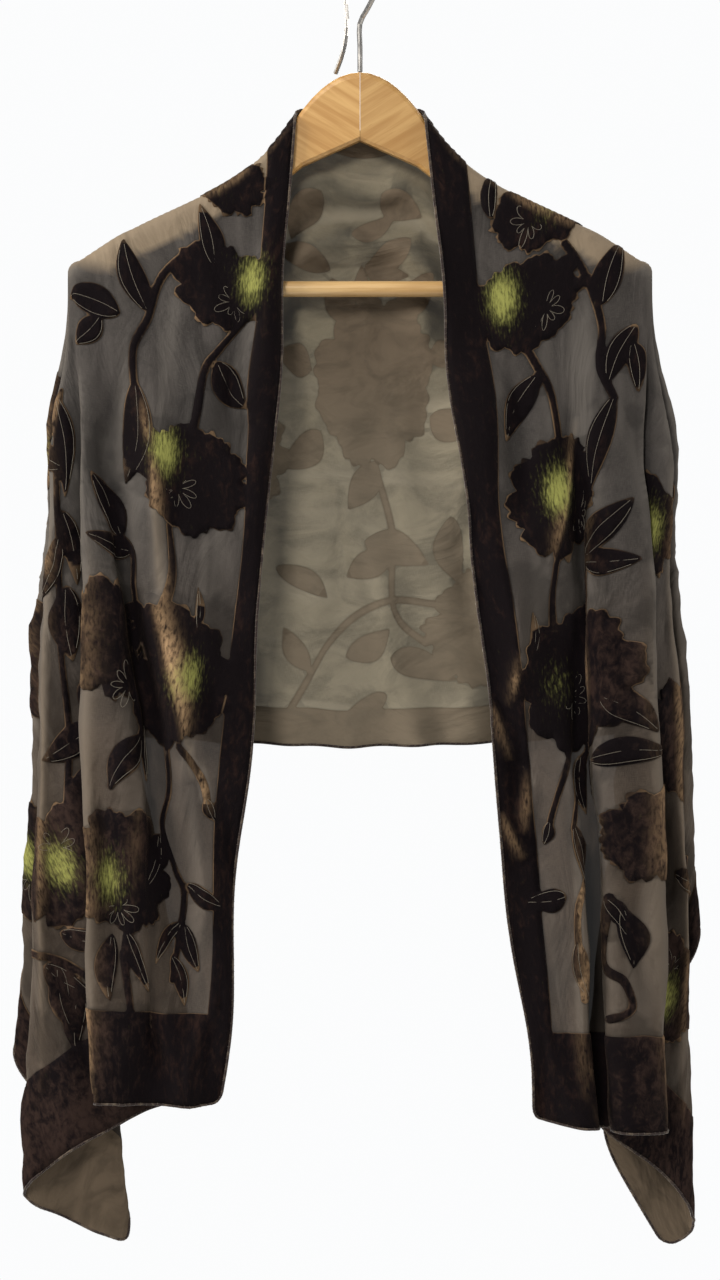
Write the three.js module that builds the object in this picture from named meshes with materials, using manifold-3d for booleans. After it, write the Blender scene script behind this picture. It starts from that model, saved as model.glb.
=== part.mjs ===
// An evening stole of figured burn-out velvet, hung over a wooden hanger as a wrap sits on shoulders.
// Millimetres, +Z up, +X to the right of someone who faces the front, which looks along -Y.
// The origin is the inside top of the hook, where a rail carries it.
//
// The stole is one rectangle of cloth. Its length runs up one front, over a shoulder, across the back,
// over the other shoulder and down the other front. A place on it is named by two lengths on the flat cut:
//   along   from the centre of the back towards one end
//   across  from the neck edge towards the outer edge
// Each place hangs from the arm of the hanger that carries it. So it is also named by its fall, which is
// the cloth between it and the arm's top, and by its place round the ring of cloth that has fallen as far.
// The cloth past an arm's tip is a quarter turn round one point, so it falls as a cascade of folds.
import * as THREE from "three";
import { mergeVertices } from "three/addons/utils/BufferGeometryUtils.js";
import Module from "manifold-3d";

// The flat cut
const STOLE_LENGTH = 1660;
const STOLE_WIDTH = 510;
const CLOTH_THICK = 1.4;
const SEAM_GAP = 0.3;

// How the cloth sits on the hanger
const NECK_CLOTH = 58; // half the neck edge between the two shoulders, on the cloth
const NECK_OUT = 50; // the same on the hanger
const NECK_RISE = 13; // the neck edge climbs the block by this much behind the neck
const RISE_POWER = 7; // how flat the rise is across the block
const NECK_SAG = 29; // and has fallen this far at the centre
const NECK_POINT_Z = -116; // the neck point, below the inside of the hook
const TIP_OUT = 220; // arm's tip, from the centre line
const SHOULDER_DROP = 114; // arm's tip below the neck point
const SHOULDER_SCOOP = 128; // how strongly the arm dips below a straight slope
const SCOOP_POWER = 2.5; // how near the neck it dips
const SHOULDER_RUN = 145; // neck point to arm's tip, along the cloth and across it alike
const BEND_RADIUS = 9; // of the cloth over the arm
const QUARTER = Math.PI / 2;
const TIP_ALONG = NECK_CLOTH + SHOULDER_RUN;
const END_FALL = STOLE_LENGTH / 2 - TIP_ALONG; // arm's tip to the stole's end, on the cloth
const EDGE_FALL = STOLE_WIDTH - SHOULDER_RUN; // arm's tip to the outer edge, on the cloth

// The front panel of each side leans out as it falls, and one long fold is let into it.
//   edgeOut, tipOut          how far out the neck edge and the tip's line are at the hem
//   edgeExtra, tipExtra      how far they drop there beyond a straight fall
//   foldAt, foldDrift        where the fold's first ridge starts, and how far it drifts by the hem
//   rise, full, ease, flat   shares of the fall where the fold starts, is full, eases and is gone
const FRONT = {
  left: {
    edgeOut: 96,
    tipOut: 207,
    edgeExtra: 3,
    tipExtra: 33,
    foldAt: 114,
    foldDrift: -84,
    rise: 0.05,
    full: 0.42,
    ease: 0.72,
    flat: 1,
  },
  right: {
    edgeOut: 119,
    tipOut: 237,
    edgeExtra: 12,
    tipExtra: 56,
    foldAt: 55,
    foldDrift: 6,
    rise: 0.12,
    full: 0.5,
    ease: 2,
    flat: 3,
  },
};
// The let-in fold across the panel: cloth past its first ridge, and how far it moves out and towards the back
const LET_IN = {
  left: [
    { at: -90, out: 0, deep: 0 },
    { at: -45, out: 0, deep: 0 },
    { at: 0, out: 5, deep: -7 },
    { at: 30, out: 8, deep: 8 },
    { at: 56, out: -3, deep: -5 },
    { at: 96, out: 0, deep: 0 },
    { at: 135, out: 0, deep: 0 },
    { at: 165, out: 0, deep: 0 },
  ],
  right: [
    { at: -90, out: 0, deep: 0 },
    { at: -48, out: 0, deep: 0 },
    { at: 0, out: 6, deep: -7 },
    { at: 30, out: 3, deep: 8 },
    { at: 56, out: -13, deep: -5 },
    { at: 92, out: -3, deep: -4 },
    { at: 130, out: 0, deep: 0 },
    { at: 160, out: 0, deep: 0 },
  ],
};
const FOLD_IN = 14; // the let-in fold fades over this much cloth at the neck edge
const FOLD_OFF = 40; // and over this much before the arm's tip
const FRONT_LEAN = 14; // how far the front swings forward by the hem

// The cascade past the arm's tip, a row for each ridge and valley from front to back.
//   turn    degrees of the quarter turn, from the front's fall to the back's
//   out     from the centre line, at CASCADE_FALL
//   deep    towards the back, there
//   curve   1 spreads evenly down the fall, under 1 spreads early
//   extra   how far it drops at the hem beyond a straight fall
const CASCADE = {
  left: [
    { turn: 10, out: 116, deep: 8, curve: 1.4, extra: 12 },
    { turn: 24, out: 255, deep: 14, curve: 0.6, extra: 44 },
    { turn: 31, out: 180, deep: 22, curve: 0.85, extra: 47 },
    { turn: 38, out: 265, deep: 29, curve: 0.6, extra: 34 },
    { turn: 50, out: 172, deep: 36, curve: 0.85, extra: 25 },
    { turn: 63, out: 260, deep: 43, curve: 0.6, extra: 20 },
    { turn: 77, out: 180, deep: 50, curve: 0.85, extra: 18 },
  ],
  right: [
    { turn: 12, out: 166, deep: 9, curve: 1.4, extra: 24 },
    { turn: 27, out: 254, deep: 15, curve: 0.6, extra: 52 },
    { turn: 35, out: 186, deep: 23, curve: 0.85, extra: 36 },
    { turn: 44, out: 267, deep: 30, curve: 0.62, extra: 6 },
    { turn: 56, out: 176, deep: 37, curve: 0.85, extra: 10 },
    { turn: 67, out: 260, deep: 44, curve: 0.6, extra: 14 },
    { turn: 79, out: 182, deep: 51, curve: 0.85, extra: 16 },
  ],
};
const CASCADE_START = 25; // no folds nearer than this to the arm's tip
const CASCADE_OPEN = 130; // they have opened out by here
const DEEP_CURVE = 0.75; // how early the cascade takes up its depth
const FOLD_RADIUS = 2; // of a ridge or valley
const CASCADE_FALL = 640; // fall at which the rows above are reached

// The back panel, at the outer edge: its hem hangs level, a little lower at the centre
const BACK = { centreDeep: 12, tipDeep: 74, tipOut: 216, tipExtra: 18, centreHem: 495 };
// Soft level folds under the neck, between two falls, fading out from a share of the way to the arm's tip
const COWL = { from: 30, to: 195, waves: 3, depth: 6.5, swing: 3.5, fade: 0.35 };

// The hanger
const ARM_HALF_DEPTH = 6;
const ARM_CLEAR = 0.85; // arm's top to the cloth
const BLOCK_TOP = 34; // above the neck point, at the centre
const BLOCK_CURVE = 0.0145; // of the block's arch
const BAR_RADIUS = 6.2;
const BAR_DROP = 136; // bar's axis below the neck point
const BAR_HALF_LENGTH = 206;
const HOOK_WIRE = 2; // radius
const HOOK_BEND = 19; // inside radius of the hook
const HOOK_STEM = 38; // straight part
const HOOK_TURN = 57; // degrees the hook is turned from the hanger's plane
// Underside of an arm, from the centre joint out
const ARM_UNDER = [
  { out: 0, z: -20 },
  { out: 45, z: -40 },
  { out: 72, z: -61 },
  { out: 108, z: -84 },
  { out: 150, z: -106 },
  { out: 188, z: -124 },
  { out: 200, z: -138 },
  { out: 206, z: -143 },
  { out: 219, z: -143 },
  { out: 224, z: -136 },
];

const VELVET = { color: 0x2b211d, roughness: 0.85 };
const CHIFFON = { color: 0x6b6455, roughness: 0.9 };
const MAPLE = { color: 0xd9a661, roughness: 0.45 };
const PALE_WOOD = { color: 0xe3c08a, roughness: 0.5 };
const NICKEL = { color: 0xb9bcc0, roughness: 0.25, metalness: 1 };

const clamp01 = (v) => Math.min(1, Math.max(0, v));
const mix = (a, b, share) => a + (b - a) * share;
const smooth = (from, to, v) => {
  const share = clamp01((v - from) / (to - from));
  return share * share * (3 - 2 * share);
};
const radians = (degrees) => (degrees * Math.PI) / 180;
const steps = (count) => Array.from({ length: count + 1 }, (_, k) => k / count);

// How steeply a row's value changes, from its neighbours
const slopeBy = (key, before, after) => (after[key] - before[key]) / (after.at - before.at);

// The same for the depth, and steeper at a ridge or valley, so that it turns with FOLD_RADIUS
const plainDepth = (before, here, after) => slopeBy("deep", before, after);
function foldedDepth(before, here, after) {
  const [rise, fall] = [here.out - before.out, here.out - after.out];
  const turn = rise * fall > 0 ? Math.min(Math.abs(rise), Math.abs(fall)) : 0;
  const nearest = Math.min(here.at - before.at, after.at - here.at);
  return Math.max(plainDepth(before, here, after), Math.sqrt(6 * FOLD_RADIUS * turn) / nearest);
}

// A smooth curve through rows of { at, out, deep, extra }
function through(rows, at, depthSlope) {
  let k = 1;
  while (k < rows.length - 3 && rows[k + 1].at < at) k++;
  const [before, here, next, after] = rows.slice(k - 1, k + 3);
  const span = next.at - here.at;
  const u = (at - here.at) / span;
  const curve = (key, slopeHere, slopeNext) => {
    const fromHere = (2 * u ** 3 - 3 * u ** 2 + 1) * here[key] + (u ** 3 - 2 * u ** 2 + u) * span * slopeHere;
    const fromNext = (3 * u ** 2 - 2 * u ** 3) * next[key] + (u ** 3 - u ** 2) * span * slopeNext;
    return fromHere + fromNext;
  };
  const plain = (key) => curve(key, slopeBy(key, before, next), slopeBy(key, here, after));
  const deep = curve("deep", depthSlope(before, here, next), depthSlope(here, next, after));
  return { out: plain("out"), deep, extra: "extra" in here ? plain("extra") : 0 };
}

// Level distance from the arm's top line, and drop below it, after so much cloth over the bend
const bendOut = (fall) => BEND_RADIUS * Math.sin(Math.min(fall / BEND_RADIUS, QUARTER));
const bendDrop = (fall) =>
  fall < BEND_RADIUS * QUARTER
    ? BEND_RADIUS * (1 - Math.cos(fall / BEND_RADIUS))
    : fall - BEND_RADIUS * (QUARTER - 1);

// The line on the hanger that carries the cloth: its drop for a share of the arm, and its places out
const shoulderDrop = (share) =>
  SHOULDER_DROP * share + SHOULDER_SCOOP * share * (1 - share) ** SCOOP_POWER;
const neckRise = (along) => NECK_RISE * (1 - Math.min(along / NECK_CLOTH, 1) ** RISE_POWER);
const carriedOut = (along) =>
  along <= NECK_CLOTH
    ? (NECK_OUT * along) / NECK_CLOTH
    : mix(NECK_OUT, TIP_OUT, (along - NECK_CLOTH) / SHOULDER_RUN);

const opened = (fall) => smooth(CASCADE_START, CASCADE_OPEN, fall);
const cascadeSpread = (fall, curve) =>
  opened(fall) * Math.max((fall - CASCADE_START) / (CASCADE_FALL - CASCADE_START), 0) ** curve;

// Lines of the front and of the back that shape the ring, in shares of SHOULDER_RUN and TIP_ALONG.
// The first and the last lie beyond the cloth, to give the curve its slope there.
const FRONT_LINES = [-0.3, 0, 0.5, 0.85, 1];
const BACK_LINES = [1, 0.8, 0.6, 0.4, 0.2, 0, -0.2, -0.4];

// The ring of cloth that has fallen this far on one side, from the neck edge to past the back's centre
function ring(side, fall) {
  const front = FRONT[side];
  const bend = bendOut(fall);
  const share = fall / END_FALL;
  const spreadDeep = cascadeSpread(fall, DEEP_CURVE);
  const frontRow = (across) => ({
    at: across,
    out: mix(
      carriedOut(NECK_CLOTH + across),
      mix(front.edgeOut, front.tipOut, across / SHOULDER_RUN),
      share,
    ),
    deep: -bend - FRONT_LEAN * smooth(0, 1, share),
    extra: mix(front.edgeExtra, front.tipExtra, across / SHOULDER_RUN),
  });
  const cascadeRow = (row, k, rows) => {
    const even = (2 * (k + 1)) / (rows.length + 1) - 1;
    const across = mix(-Math.cos(2 * radians(row.turn)), even, opened(fall)); // the bend, front to back
    const round = bend * Math.sqrt(1 - across ** 2);
    return {
      at: SHOULDER_RUN + fall * radians(row.turn),
      out: TIP_OUT + round + (row.out - TIP_OUT) * cascadeSpread(fall, row.curve),
      deep: bend * across + row.deep * spreadDeep,
      extra: row.extra,
    };
  };
  const backRow = (along) => {
    const near = (along / TIP_ALONG) ** 2;
    const settled = smooth(0, EDGE_FALL, fall);
    return {
      at: SHOULDER_RUN + fall * QUARTER + TIP_ALONG - along,
      out: Math.sign(along) * carriedOut(Math.abs(along)) + near * (BACK.tipOut - TIP_OUT) * settled,
      deep: bend + mix(BACK.centreDeep * settled, BACK.tipDeep * spreadDeep, near),
      extra: BACK.tipExtra,
    };
  };
  return [
    ...FRONT_LINES.map((part) => frontRow(part * SHOULDER_RUN)),
    ...CASCADE[side].map(cascadeRow),
    ...BACK_LINES.map((part) => backRow(part * TIP_ALONG)),
  ];
}

function letIn(side, across, fall) {
  const front = FRONT[side];
  const share = fall / END_FALL;
  const grown = smooth(front.rise, front.full, share) * (1 - smooth(front.ease, front.flat, share));
  const inside = smooth(0, FOLD_IN, across) * (1 - smooth(SHOULDER_RUN - FOLD_OFF, SHOULDER_RUN, across));
  const fold = through(LET_IN[side], across - front.foldAt - front.foldDrift * share, plainDepth);
  return { out: fold.out * grown * inside, deep: fold.deep * grown * inside };
}

// Drop of a front line. The hem is level: what the scooped arm would add is eased away down the fall.
function frontDrop(across, fall, extra) {
  const share = clamp01(across / SHOULDER_RUN);
  const scoop = shoulderDrop(share) - SHOULDER_DROP * share;
  const eased = scoop * smooth(0, frontFall(across), fall);
  return shoulderDrop(share) + bendDrop(fall) - eased + (extra * fall) / END_FALL;
}

const cascadeDrop = (fall, extra) => SHOULDER_DROP + bendDrop(fall) + (extra * fall) / END_FALL;

// Drop of a back line. The hem is level: the folds under the neck take up what the line has to spare.
function backDrop(away, fall) {
  const share = clamp01((away - NECK_CLOTH) / SHOULDER_RUN);
  const plain = (length) =>
    shoulderDrop(share) - neckRise(away) + bendDrop(length) + (BACK.tipExtra * share * length) / END_FALL;
  const hem = mix(BACK.centreHem, cascadeDrop(EDGE_FALL, BACK.tipExtra), (away / TIP_ALONG) ** 2);
  const spare = plain(backFall(away)) - hem;
  return plain(fall) - spare * clamp01((fall - COWL.from) / (COWL.to - COWL.from));
}

// Soft level folds under the neck
function cowlDeep(away, fall) {
  const nearNeck = 1 - smooth(COWL.fade, 1, away / TIP_ALONG);
  const inCowl = clamp01((fall - COWL.from) / (COWL.to - COWL.from));
  const swell = COWL.swing + COWL.depth * Math.sin(2 * Math.PI * COWL.waves * inCowl);
  return nearNeck * Math.sin(Math.PI * inCowl) * swell;
}

// Where a place on one side hangs: its place round the ring, and its fall
function hang(side, at, fall) {
  const place = through(ring(side, fall), at, foldedDepth);
  const turned = at - SHOULDER_RUN;
  let drop;
  if (turned <= 0) {
    const fold = letIn(side, at, fall);
    place.out += fold.out;
    place.deep += fold.deep;
    drop = frontDrop(at, fall, place.extra);
  } else if (turned < fall * QUARTER) {
    drop = cascadeDrop(fall, place.extra);
  } else {
    const away = Math.abs(TIP_ALONG - (turned - fall * QUARTER));
    place.deep += cowlDeep(away, fall);
    drop = backDrop(away, fall);
  }
  const mirror = side === "left" ? -1 : 1;
  return new THREE.Vector3(mirror * place.out, place.deep, NECK_POINT_Z - drop);
}

// The place on the same hanging line at another fall
function alongLine(at, fall, other) {
  if (at <= SHOULDER_RUN) return at;
  if (at < SHOULDER_RUN + fall * QUARTER) return SHOULDER_RUN + ((at - SHOULDER_RUN) * other) / fall;
  return at + (other - fall) * QUARTER;
}

const STEP = 0.4; // short step along the cloth, for slopes
const HAIR = 1e-6; // keeps a step off the line between two parts

// The front, the cascade or the back: where that part of the ring starts and ends
function partOf(at, fall) {
  const end = SHOULDER_RUN + fall * QUARTER;
  if (at < SHOULDER_RUN) return [-Infinity, SHOULDER_RUN];
  return at <= end ? [SHOULDER_RUN, end] : [end, Infinity];
}

// A short step of the cloth round the ring, kept within its part
function roundStep(side, at, fall) {
  const [start, end] = partOf(at, fall);
  const before = Math.max(at - STEP, start + HAIR);
  const after = Math.min(at + STEP, end - HAIR);
  return hang(side, after, fall).sub(hang(side, before, fall)).divideScalar(after - before);
}

// The way the cloth faces there: out of the wrap
function facing(side, at, fall) {
  const lower = fall + STEP;
  const higher = Math.max(fall - STEP, HAIR);
  const down = hang(side, alongLine(at, fall, lower), lower);
  down.sub(hang(side, alongLine(at, fall, higher), higher));
  const round = roundStep(side, at, fall);
  return (side === "left" ? round.cross(down) : down.cross(round)).normalize();
}

// How far a line can fall before the stole's end or outer edge, and where it starts at the neck
const frontFall = (across) => STOLE_LENGTH / 2 - NECK_CLOTH - across;
const cascadeFall = (turn) => Math.min(END_FALL / Math.cos(turn), EDGE_FALL / Math.sin(turn));
const neckFall = (along) => {
  const inside = Math.max(NECK_CLOTH - Math.abs(along), 0);
  return inside - ((NECK_CLOTH - NECK_SAG) * inside ** 2) / NECK_CLOTH ** 2;
};
const backFall = (along) => STOLE_WIDTH - Math.max(Math.abs(along) - NECK_CLOTH, 0) + neckFall(along);

// A wall of cloth over a grid of places, each { side, at, fall }: columns round the wrap, rows down it
function wall(grid) {
  const columns = grid.length;
  const rows = grid[0].length;
  const points = [];
  const halves = [CLOTH_THICK / 2, -CLOTH_THICK / 2];
  for (const half of halves) {
    for (const column of grid) {
      for (const { side, at, fall } of column) {
        points.push(hang(side, at, fall).addScaledVector(facing(side, at, fall), half));
      }
    }
  }
  const outer = (i, j) => i * rows + j;
  const inner = (i, j) => (columns + i) * rows + j;
  const faces = [];
  const quad = (a, b, c, d) => faces.push(a, b, c, a, c, d);
  for (let i = 0; i < columns - 1; i++) {
    for (let j = 0; j < rows - 1; j++) {
      quad(outer(i, j), outer(i + 1, j), outer(i + 1, j + 1), outer(i, j + 1));
      quad(inner(i, j), inner(i, j + 1), inner(i + 1, j + 1), inner(i + 1, j));
    }
    quad(outer(i, 0), inner(i, 0), inner(i + 1, 0), outer(i + 1, 0));
    quad(outer(i + 1, rows - 1), inner(i + 1, rows - 1), inner(i, rows - 1), outer(i, rows - 1));
  }
  for (let j = 0; j < rows - 1; j++) {
    quad(outer(0, j + 1), inner(0, j + 1), inner(0, j), outer(0, j));
    quad(outer(columns - 1, j), inner(columns - 1, j), inner(columns - 1, j + 1), outer(columns - 1, j + 1));
  }
  return facedOut(new THREE.BufferGeometry().setFromPoints(points).setIndex(faces));
}

// Turns a closed surface round if its faces point inwards
function facedOut(geometry) {
  const corner = geometry.getAttribute("position");
  const index = geometry.index.array;
  const [a, b, c] = [new THREE.Vector3(), new THREE.Vector3(), new THREE.Vector3()];
  let volume = 0;
  for (let k = 0; k < index.length; k += 3) {
    a.fromBufferAttribute(corner, index[k]);
    b.fromBufferAttribute(corner, index[k + 1]);
    c.fromBufferAttribute(corner, index[k + 2]);
    volume += a.dot(b.cross(c));
  }
  if (volume < 0) geometry.setIndex(Array.from(index).reverse());
  return geometry;
}

// Falls down a line: close together over the bend, then wider apart towards the hem
const BEND_FALLS = [3.2, 6.4, 9.8, 14.2, 24, 40];
const FIRST_ROW = 4; // least cloth between a late start and the next row
const ROW_POWER = 1.25; // how much wider apart the rows grow
function fallsTo(start, end, count) {
  const first = start + SEAM_GAP / 2;
  const last = BEND_FALLS.at(-1);
  const shift = Math.max(first - BEND_FALLS[0] + FIRST_ROW, 0);
  const bend = BEND_FALLS.map((fall) => fall + shift * (1 - fall / (2 * last)));
  return [first, ...bend, ...steps(count).slice(1).map((share) => mix(bend.at(-1), end, share ** ROW_POWER))];
}

const FRONT_COLUMNS = 20;
const FRONT_ROWS = 17;
const SEAM_INSET = 12; // the cascade's stretch takes this much of the front and of the back
function frontWall(side) {
  const reach = SHOULDER_RUN - SEAM_INSET - SEAM_GAP / 2;
  return wall(
    steps(FRONT_COLUMNS).map((share) => {
      const at = share * reach;
      return fallsTo(0, frontFall(at), FRONT_ROWS).map((fall) => ({ side, at, fall }));
    }),
  );
}

const CASCADE_COLUMNS = 5; // to each slope of a fold
const CASCADE_ROWS = 12;
const CASCADE_TOP = 3; // where the cascade starts, below the arm's tip
const INSET_COLUMNS = [SEAM_INSET - SEAM_GAP / 2, SEAM_INSET * 0.6, SEAM_INSET * 0.25];
function cascadeWall(side) {
  const corner = Math.atan2(EDGE_FALL, END_FALL);
  const lines = [0, ...CASCADE[side].map((row) => radians(row.turn)), QUARTER];
  const slopes = lines.slice(1).map((line, k) =>
    steps(CASCADE_COLUMNS).slice(1).map((share) => mix(lines[k], line, share)),
  );
  const turns = [0, ...slopes.flat()];
  const distance = (turn) => Math.abs(turn - corner);
  const nearest = turns.indexOf(turns.toSorted((a, b) => distance(a) - distance(b))[0]);
  turns[nearest] = corner;
  const insetTop = (inset) => CASCADE_TOP * (1 - inset / SEAM_INSET);
  const front = INSET_COLUMNS.map((inset) => {
    const at = SHOULDER_RUN - inset;
    return fallsTo(insetTop(inset), frontFall(at), CASCADE_ROWS).map((fall) => ({ side, at, fall }));
  });
  const cascade = turns.map((turn) =>
    fallsTo(CASCADE_TOP, cascadeFall(turn), CASCADE_ROWS).map((fall) => ({
      side,
      at: SHOULDER_RUN + fall * turn,
      fall,
    })),
  );
  const back = INSET_COLUMNS.toReversed().map((inset) =>
    fallsTo(insetTop(inset), backFall(TIP_ALONG - inset), CASCADE_ROWS).map((fall) => ({
      side,
      at: SHOULDER_RUN + fall * QUARTER + inset,
      fall,
    })),
  );
  return wall([...front, ...cascade, ...back]);
}

const NECK_COLUMNS = 6; // from the centre to the neck point, closer together towards it
const BACK_COLUMNS = 9; // from the neck point to the cascade
const COWL_ROWS = 15;
const BACK_ROWS = 5; // below the cowl
function backWall() {
  const reach = TIP_ALONG - SEAM_INSET - SEAM_GAP / 2;
  const alongs = [
    ...steps(NECK_COLUMNS).map((share) => NECK_CLOTH * (1 - (1 - share) ** 2)),
    ...steps(BACK_COLUMNS).slice(1).map((share) => mix(NECK_CLOTH, reach, share)),
  ];
  const column = (side) => (along) => {
    const upper = fallsTo(neckFall(along), COWL.to, COWL_ROWS);
    const lower = steps(BACK_ROWS).slice(1).map((share) => mix(COWL.to, backFall(along), share));
    return [...upper, ...lower].map((fall) => ({
      side,
      at: SHOULDER_RUN + fall * QUARTER + TIP_ALONG - along,
      fall,
    }));
  };
  return wall([...alongs.slice(1).reverse().map(column("left")), ...alongs.map(column("right"))]);
}

// A solid through closed sections of equally many points, with its two ends closed
function loft(sections) {
  const round = sections[0].length;
  const points = sections.flat();
  const faces = [];
  for (let i = 0; i < sections.length - 1; i++) {
    for (let j = 0; j < round; j++) {
      const next = (j + 1) % round;
      const [a, b, c, d] = [i * round + j, i * round + next, (i + 1) * round + next, (i + 1) * round + j];
      faces.push(a, b, c, a, c, d);
    }
  }
  const last = (sections.length - 1) * round;
  for (let j = 1; j < round - 1; j++) {
    faces.push(0, j + 1, j, last, last + j, last + j + 1);
  }
  return facedOut(new THREE.BufferGeometry().setFromPoints(points).setIndex(faces));
}

// Height of the wood along an arm
function armTop(out) {
  if (out <= NECK_OUT) return BLOCK_TOP - BLOCK_CURVE * out ** 2;
  const run = TIP_OUT - NECK_OUT;
  const share = Math.min((out - NECK_OUT) / run, 1);
  const slope = (shoulderDrop(share) - shoulderDrop(share - STEP / run)) / STEP;
  return -shoulderDrop(share) - (CLOTH_THICK / 2 + ARM_CLEAR) * Math.hypot(1, slope);
}
function armUnder(out) {
  const k = ARM_UNDER.findIndex((row) => row.out >= out);
  if (k <= 0) return ARM_UNDER.at(k).z;
  const [a, b] = [ARM_UNDER[k - 1], ARM_UNDER[k]];
  return mix(a.z, b.z, (out - a.out) / (b.out - a.out));
}

// Section of an arm: a half round on top, softly rounded below, smaller at the very tip
const BLOCK_STEPS = 6;
const ARM_STEPS = 23;
const ARM_OUTS = [
  SEAM_GAP / 2,
  ...steps(BLOCK_STEPS).slice(1).map((share) => share * ARM_UNDER[1].out),
  ...steps(ARM_STEPS).map((share) => mix(NECK_OUT, ARM_UNDER.at(-5).out, share)),
  ...ARM_UNDER.slice(-4).map((row) => row.out),
];
const ARM_ROUND = 6; // facets of the half round
const UNDER_ROUND = 2.5;
const TIP_SHARE = 0.55; // how much of the section is left at the very tip
const TIP_FALL = 5; // and how much lower its top is
function armSection(mirror, out) {
  const end = out > TIP_OUT ? TIP_SHARE : 1;
  const depth = ARM_HALF_DEPTH * end;
  const top = armTop(out) - (out > TIP_OUT ? TIP_FALL : 0);
  const under = armUnder(out);
  const section = steps(ARM_ROUND).map((share) => {
    const angle = share * Math.PI;
    return [depth * Math.cos(angle), top - depth + depth * Math.sin(angle)];
  });
  const foot = UNDER_ROUND * end;
  section.push([-depth, under + foot], [foot - depth, under], [depth - foot, under], [depth, under + foot]);
  return section.map(([deep, z]) => new THREE.Vector3(mirror * out, deep, NECK_POINT_Z + z));
}

const MERGE = 1e-3; // corners nearer than this are one corner
const wasm = await Module();
wasm.setup();
const solidOf = (geometry) => {
  geometry.deleteAttribute("normal");
  geometry.deleteAttribute("uv");
  const merged = mergeVertices(geometry, MERGE);
  return new wasm.Manifold(
    new wasm.Mesh({
      numProp: 3,
      vertProperties: merged.getAttribute("position").array,
      triVerts: new Uint32Array(merged.index.array),
    }),
  );
};
const geometryOf = (solid) => {
  const mesh = solid.getMesh();
  return new THREE.BufferGeometry()
    .setAttribute("position", new THREE.BufferAttribute(mesh.vertProperties, 3))
    .setIndex(new THREE.BufferAttribute(mesh.triVerts, 1));
};

// The round bar lies in a socket in each arm
const BAR_SIDES = 24;
function barGeometry(grow) {
  const radius = BAR_RADIUS + grow;
  const length = 2 * (BAR_HALF_LENGTH + grow);
  const bar = new THREE.CylinderGeometry(radius, radius, length, BAR_SIDES);
  return bar.rotateZ(QUARTER).translate(0, 0, NECK_POINT_Z - BAR_DROP);
}
function armGeometry(mirror) {
  const wood = solidOf(loft(ARM_OUTS.map((out) => armSection(mirror, out))));
  return geometryOf(wood.subtract(solidOf(barGeometry(SEAM_GAP))));
}

// The hook: up out of the block, round over the rail and down to a free end that flares away.
// Its free end, in shares of the bend out from the stem and of the stem up from the block
const HOOK_END = [
  { out: -0.9, up: 1 },
  { out: -1.15, up: 0.55 },
  { out: -1.7, up: 0.14 },
];
const HOOK_SHOULDER = 9; // from the stem's top to where the wire leans out
const HOOK_ROUND = { from: -20, to: 185, points: 7 }; // degrees of the bend
const HOOK_SIDES = 8;
const HOOK_STEPS = 32;
function hookRoute() {
  const middle = HOOK_BEND + HOOK_WIRE;
  const foot = NECK_POINT_Z + BLOCK_TOP + SEAM_GAP;
  const round = steps(HOOK_ROUND.points).map((share) => {
    const angle = radians(mix(HOOK_ROUND.from, HOOK_ROUND.to, share));
    return { out: middle * Math.cos(angle), z: middle * Math.sin(angle) - HOOK_BEND };
  });
  return [
    { out: 0, z: foot },
    { out: 0, z: foot + HOOK_STEM / 2 },
    { out: 0, z: foot + HOOK_STEM },
    { out: middle / 2, z: foot + HOOK_STEM + HOOK_SHOULDER },
    ...round,
    ...HOOK_END.map(({ out, up }) => ({ out: middle * out, z: foot + HOOK_STEM * up })),
  ];
}
function hookGeometry() {
  const turn = radians(HOOK_TURN);
  const points = hookRoute().map(
    ({ out, z }) => new THREE.Vector3(out * Math.cos(turn), -out * Math.sin(turn), z),
  );
  const corners = steps(HOOK_SIDES).slice(1).map((share) => {
    const angle = share * 2 * Math.PI;
    return new THREE.Vector2(HOOK_WIRE * Math.cos(angle), HOOK_WIRE * Math.sin(angle));
  });
  const extrudePath = new THREE.CatmullRomCurve3(points, false, "centripetal");
  return new THREE.ExtrudeGeometry(new THREE.Shape(corners), { steps: HOOK_STEPS, extrudePath });
}

const group = new THREE.Group();
function add(name, geometry, finish) {
  const mesh = new THREE.Mesh(geometry, new THREE.MeshStandardMaterial(finish));
  mesh.name = name;
  group.add(mesh);
}

for (const side of ["left", "right"]) {
  add(`stole_${side}_front`, frontWall(side), VELVET);
  add(`stole_${side}_side`, cascadeWall(side), VELVET);
  add(`hanger_${side}_arm`, armGeometry(side === "left" ? -1 : 1), MAPLE);
}
add("stole_back", backWall(), CHIFFON);
add("hanger_bar", barGeometry(0), PALE_WOOD);
add("hanger_hook", hookGeometry(), NICKEL);

export default group;
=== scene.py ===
from collections import namedtuple
from functools import cache

import bpy
import numpy as np
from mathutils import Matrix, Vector
from mathutils.bvhtree import BVHTree
from mathutils.geometry import delaunay_2d_cdt


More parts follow.
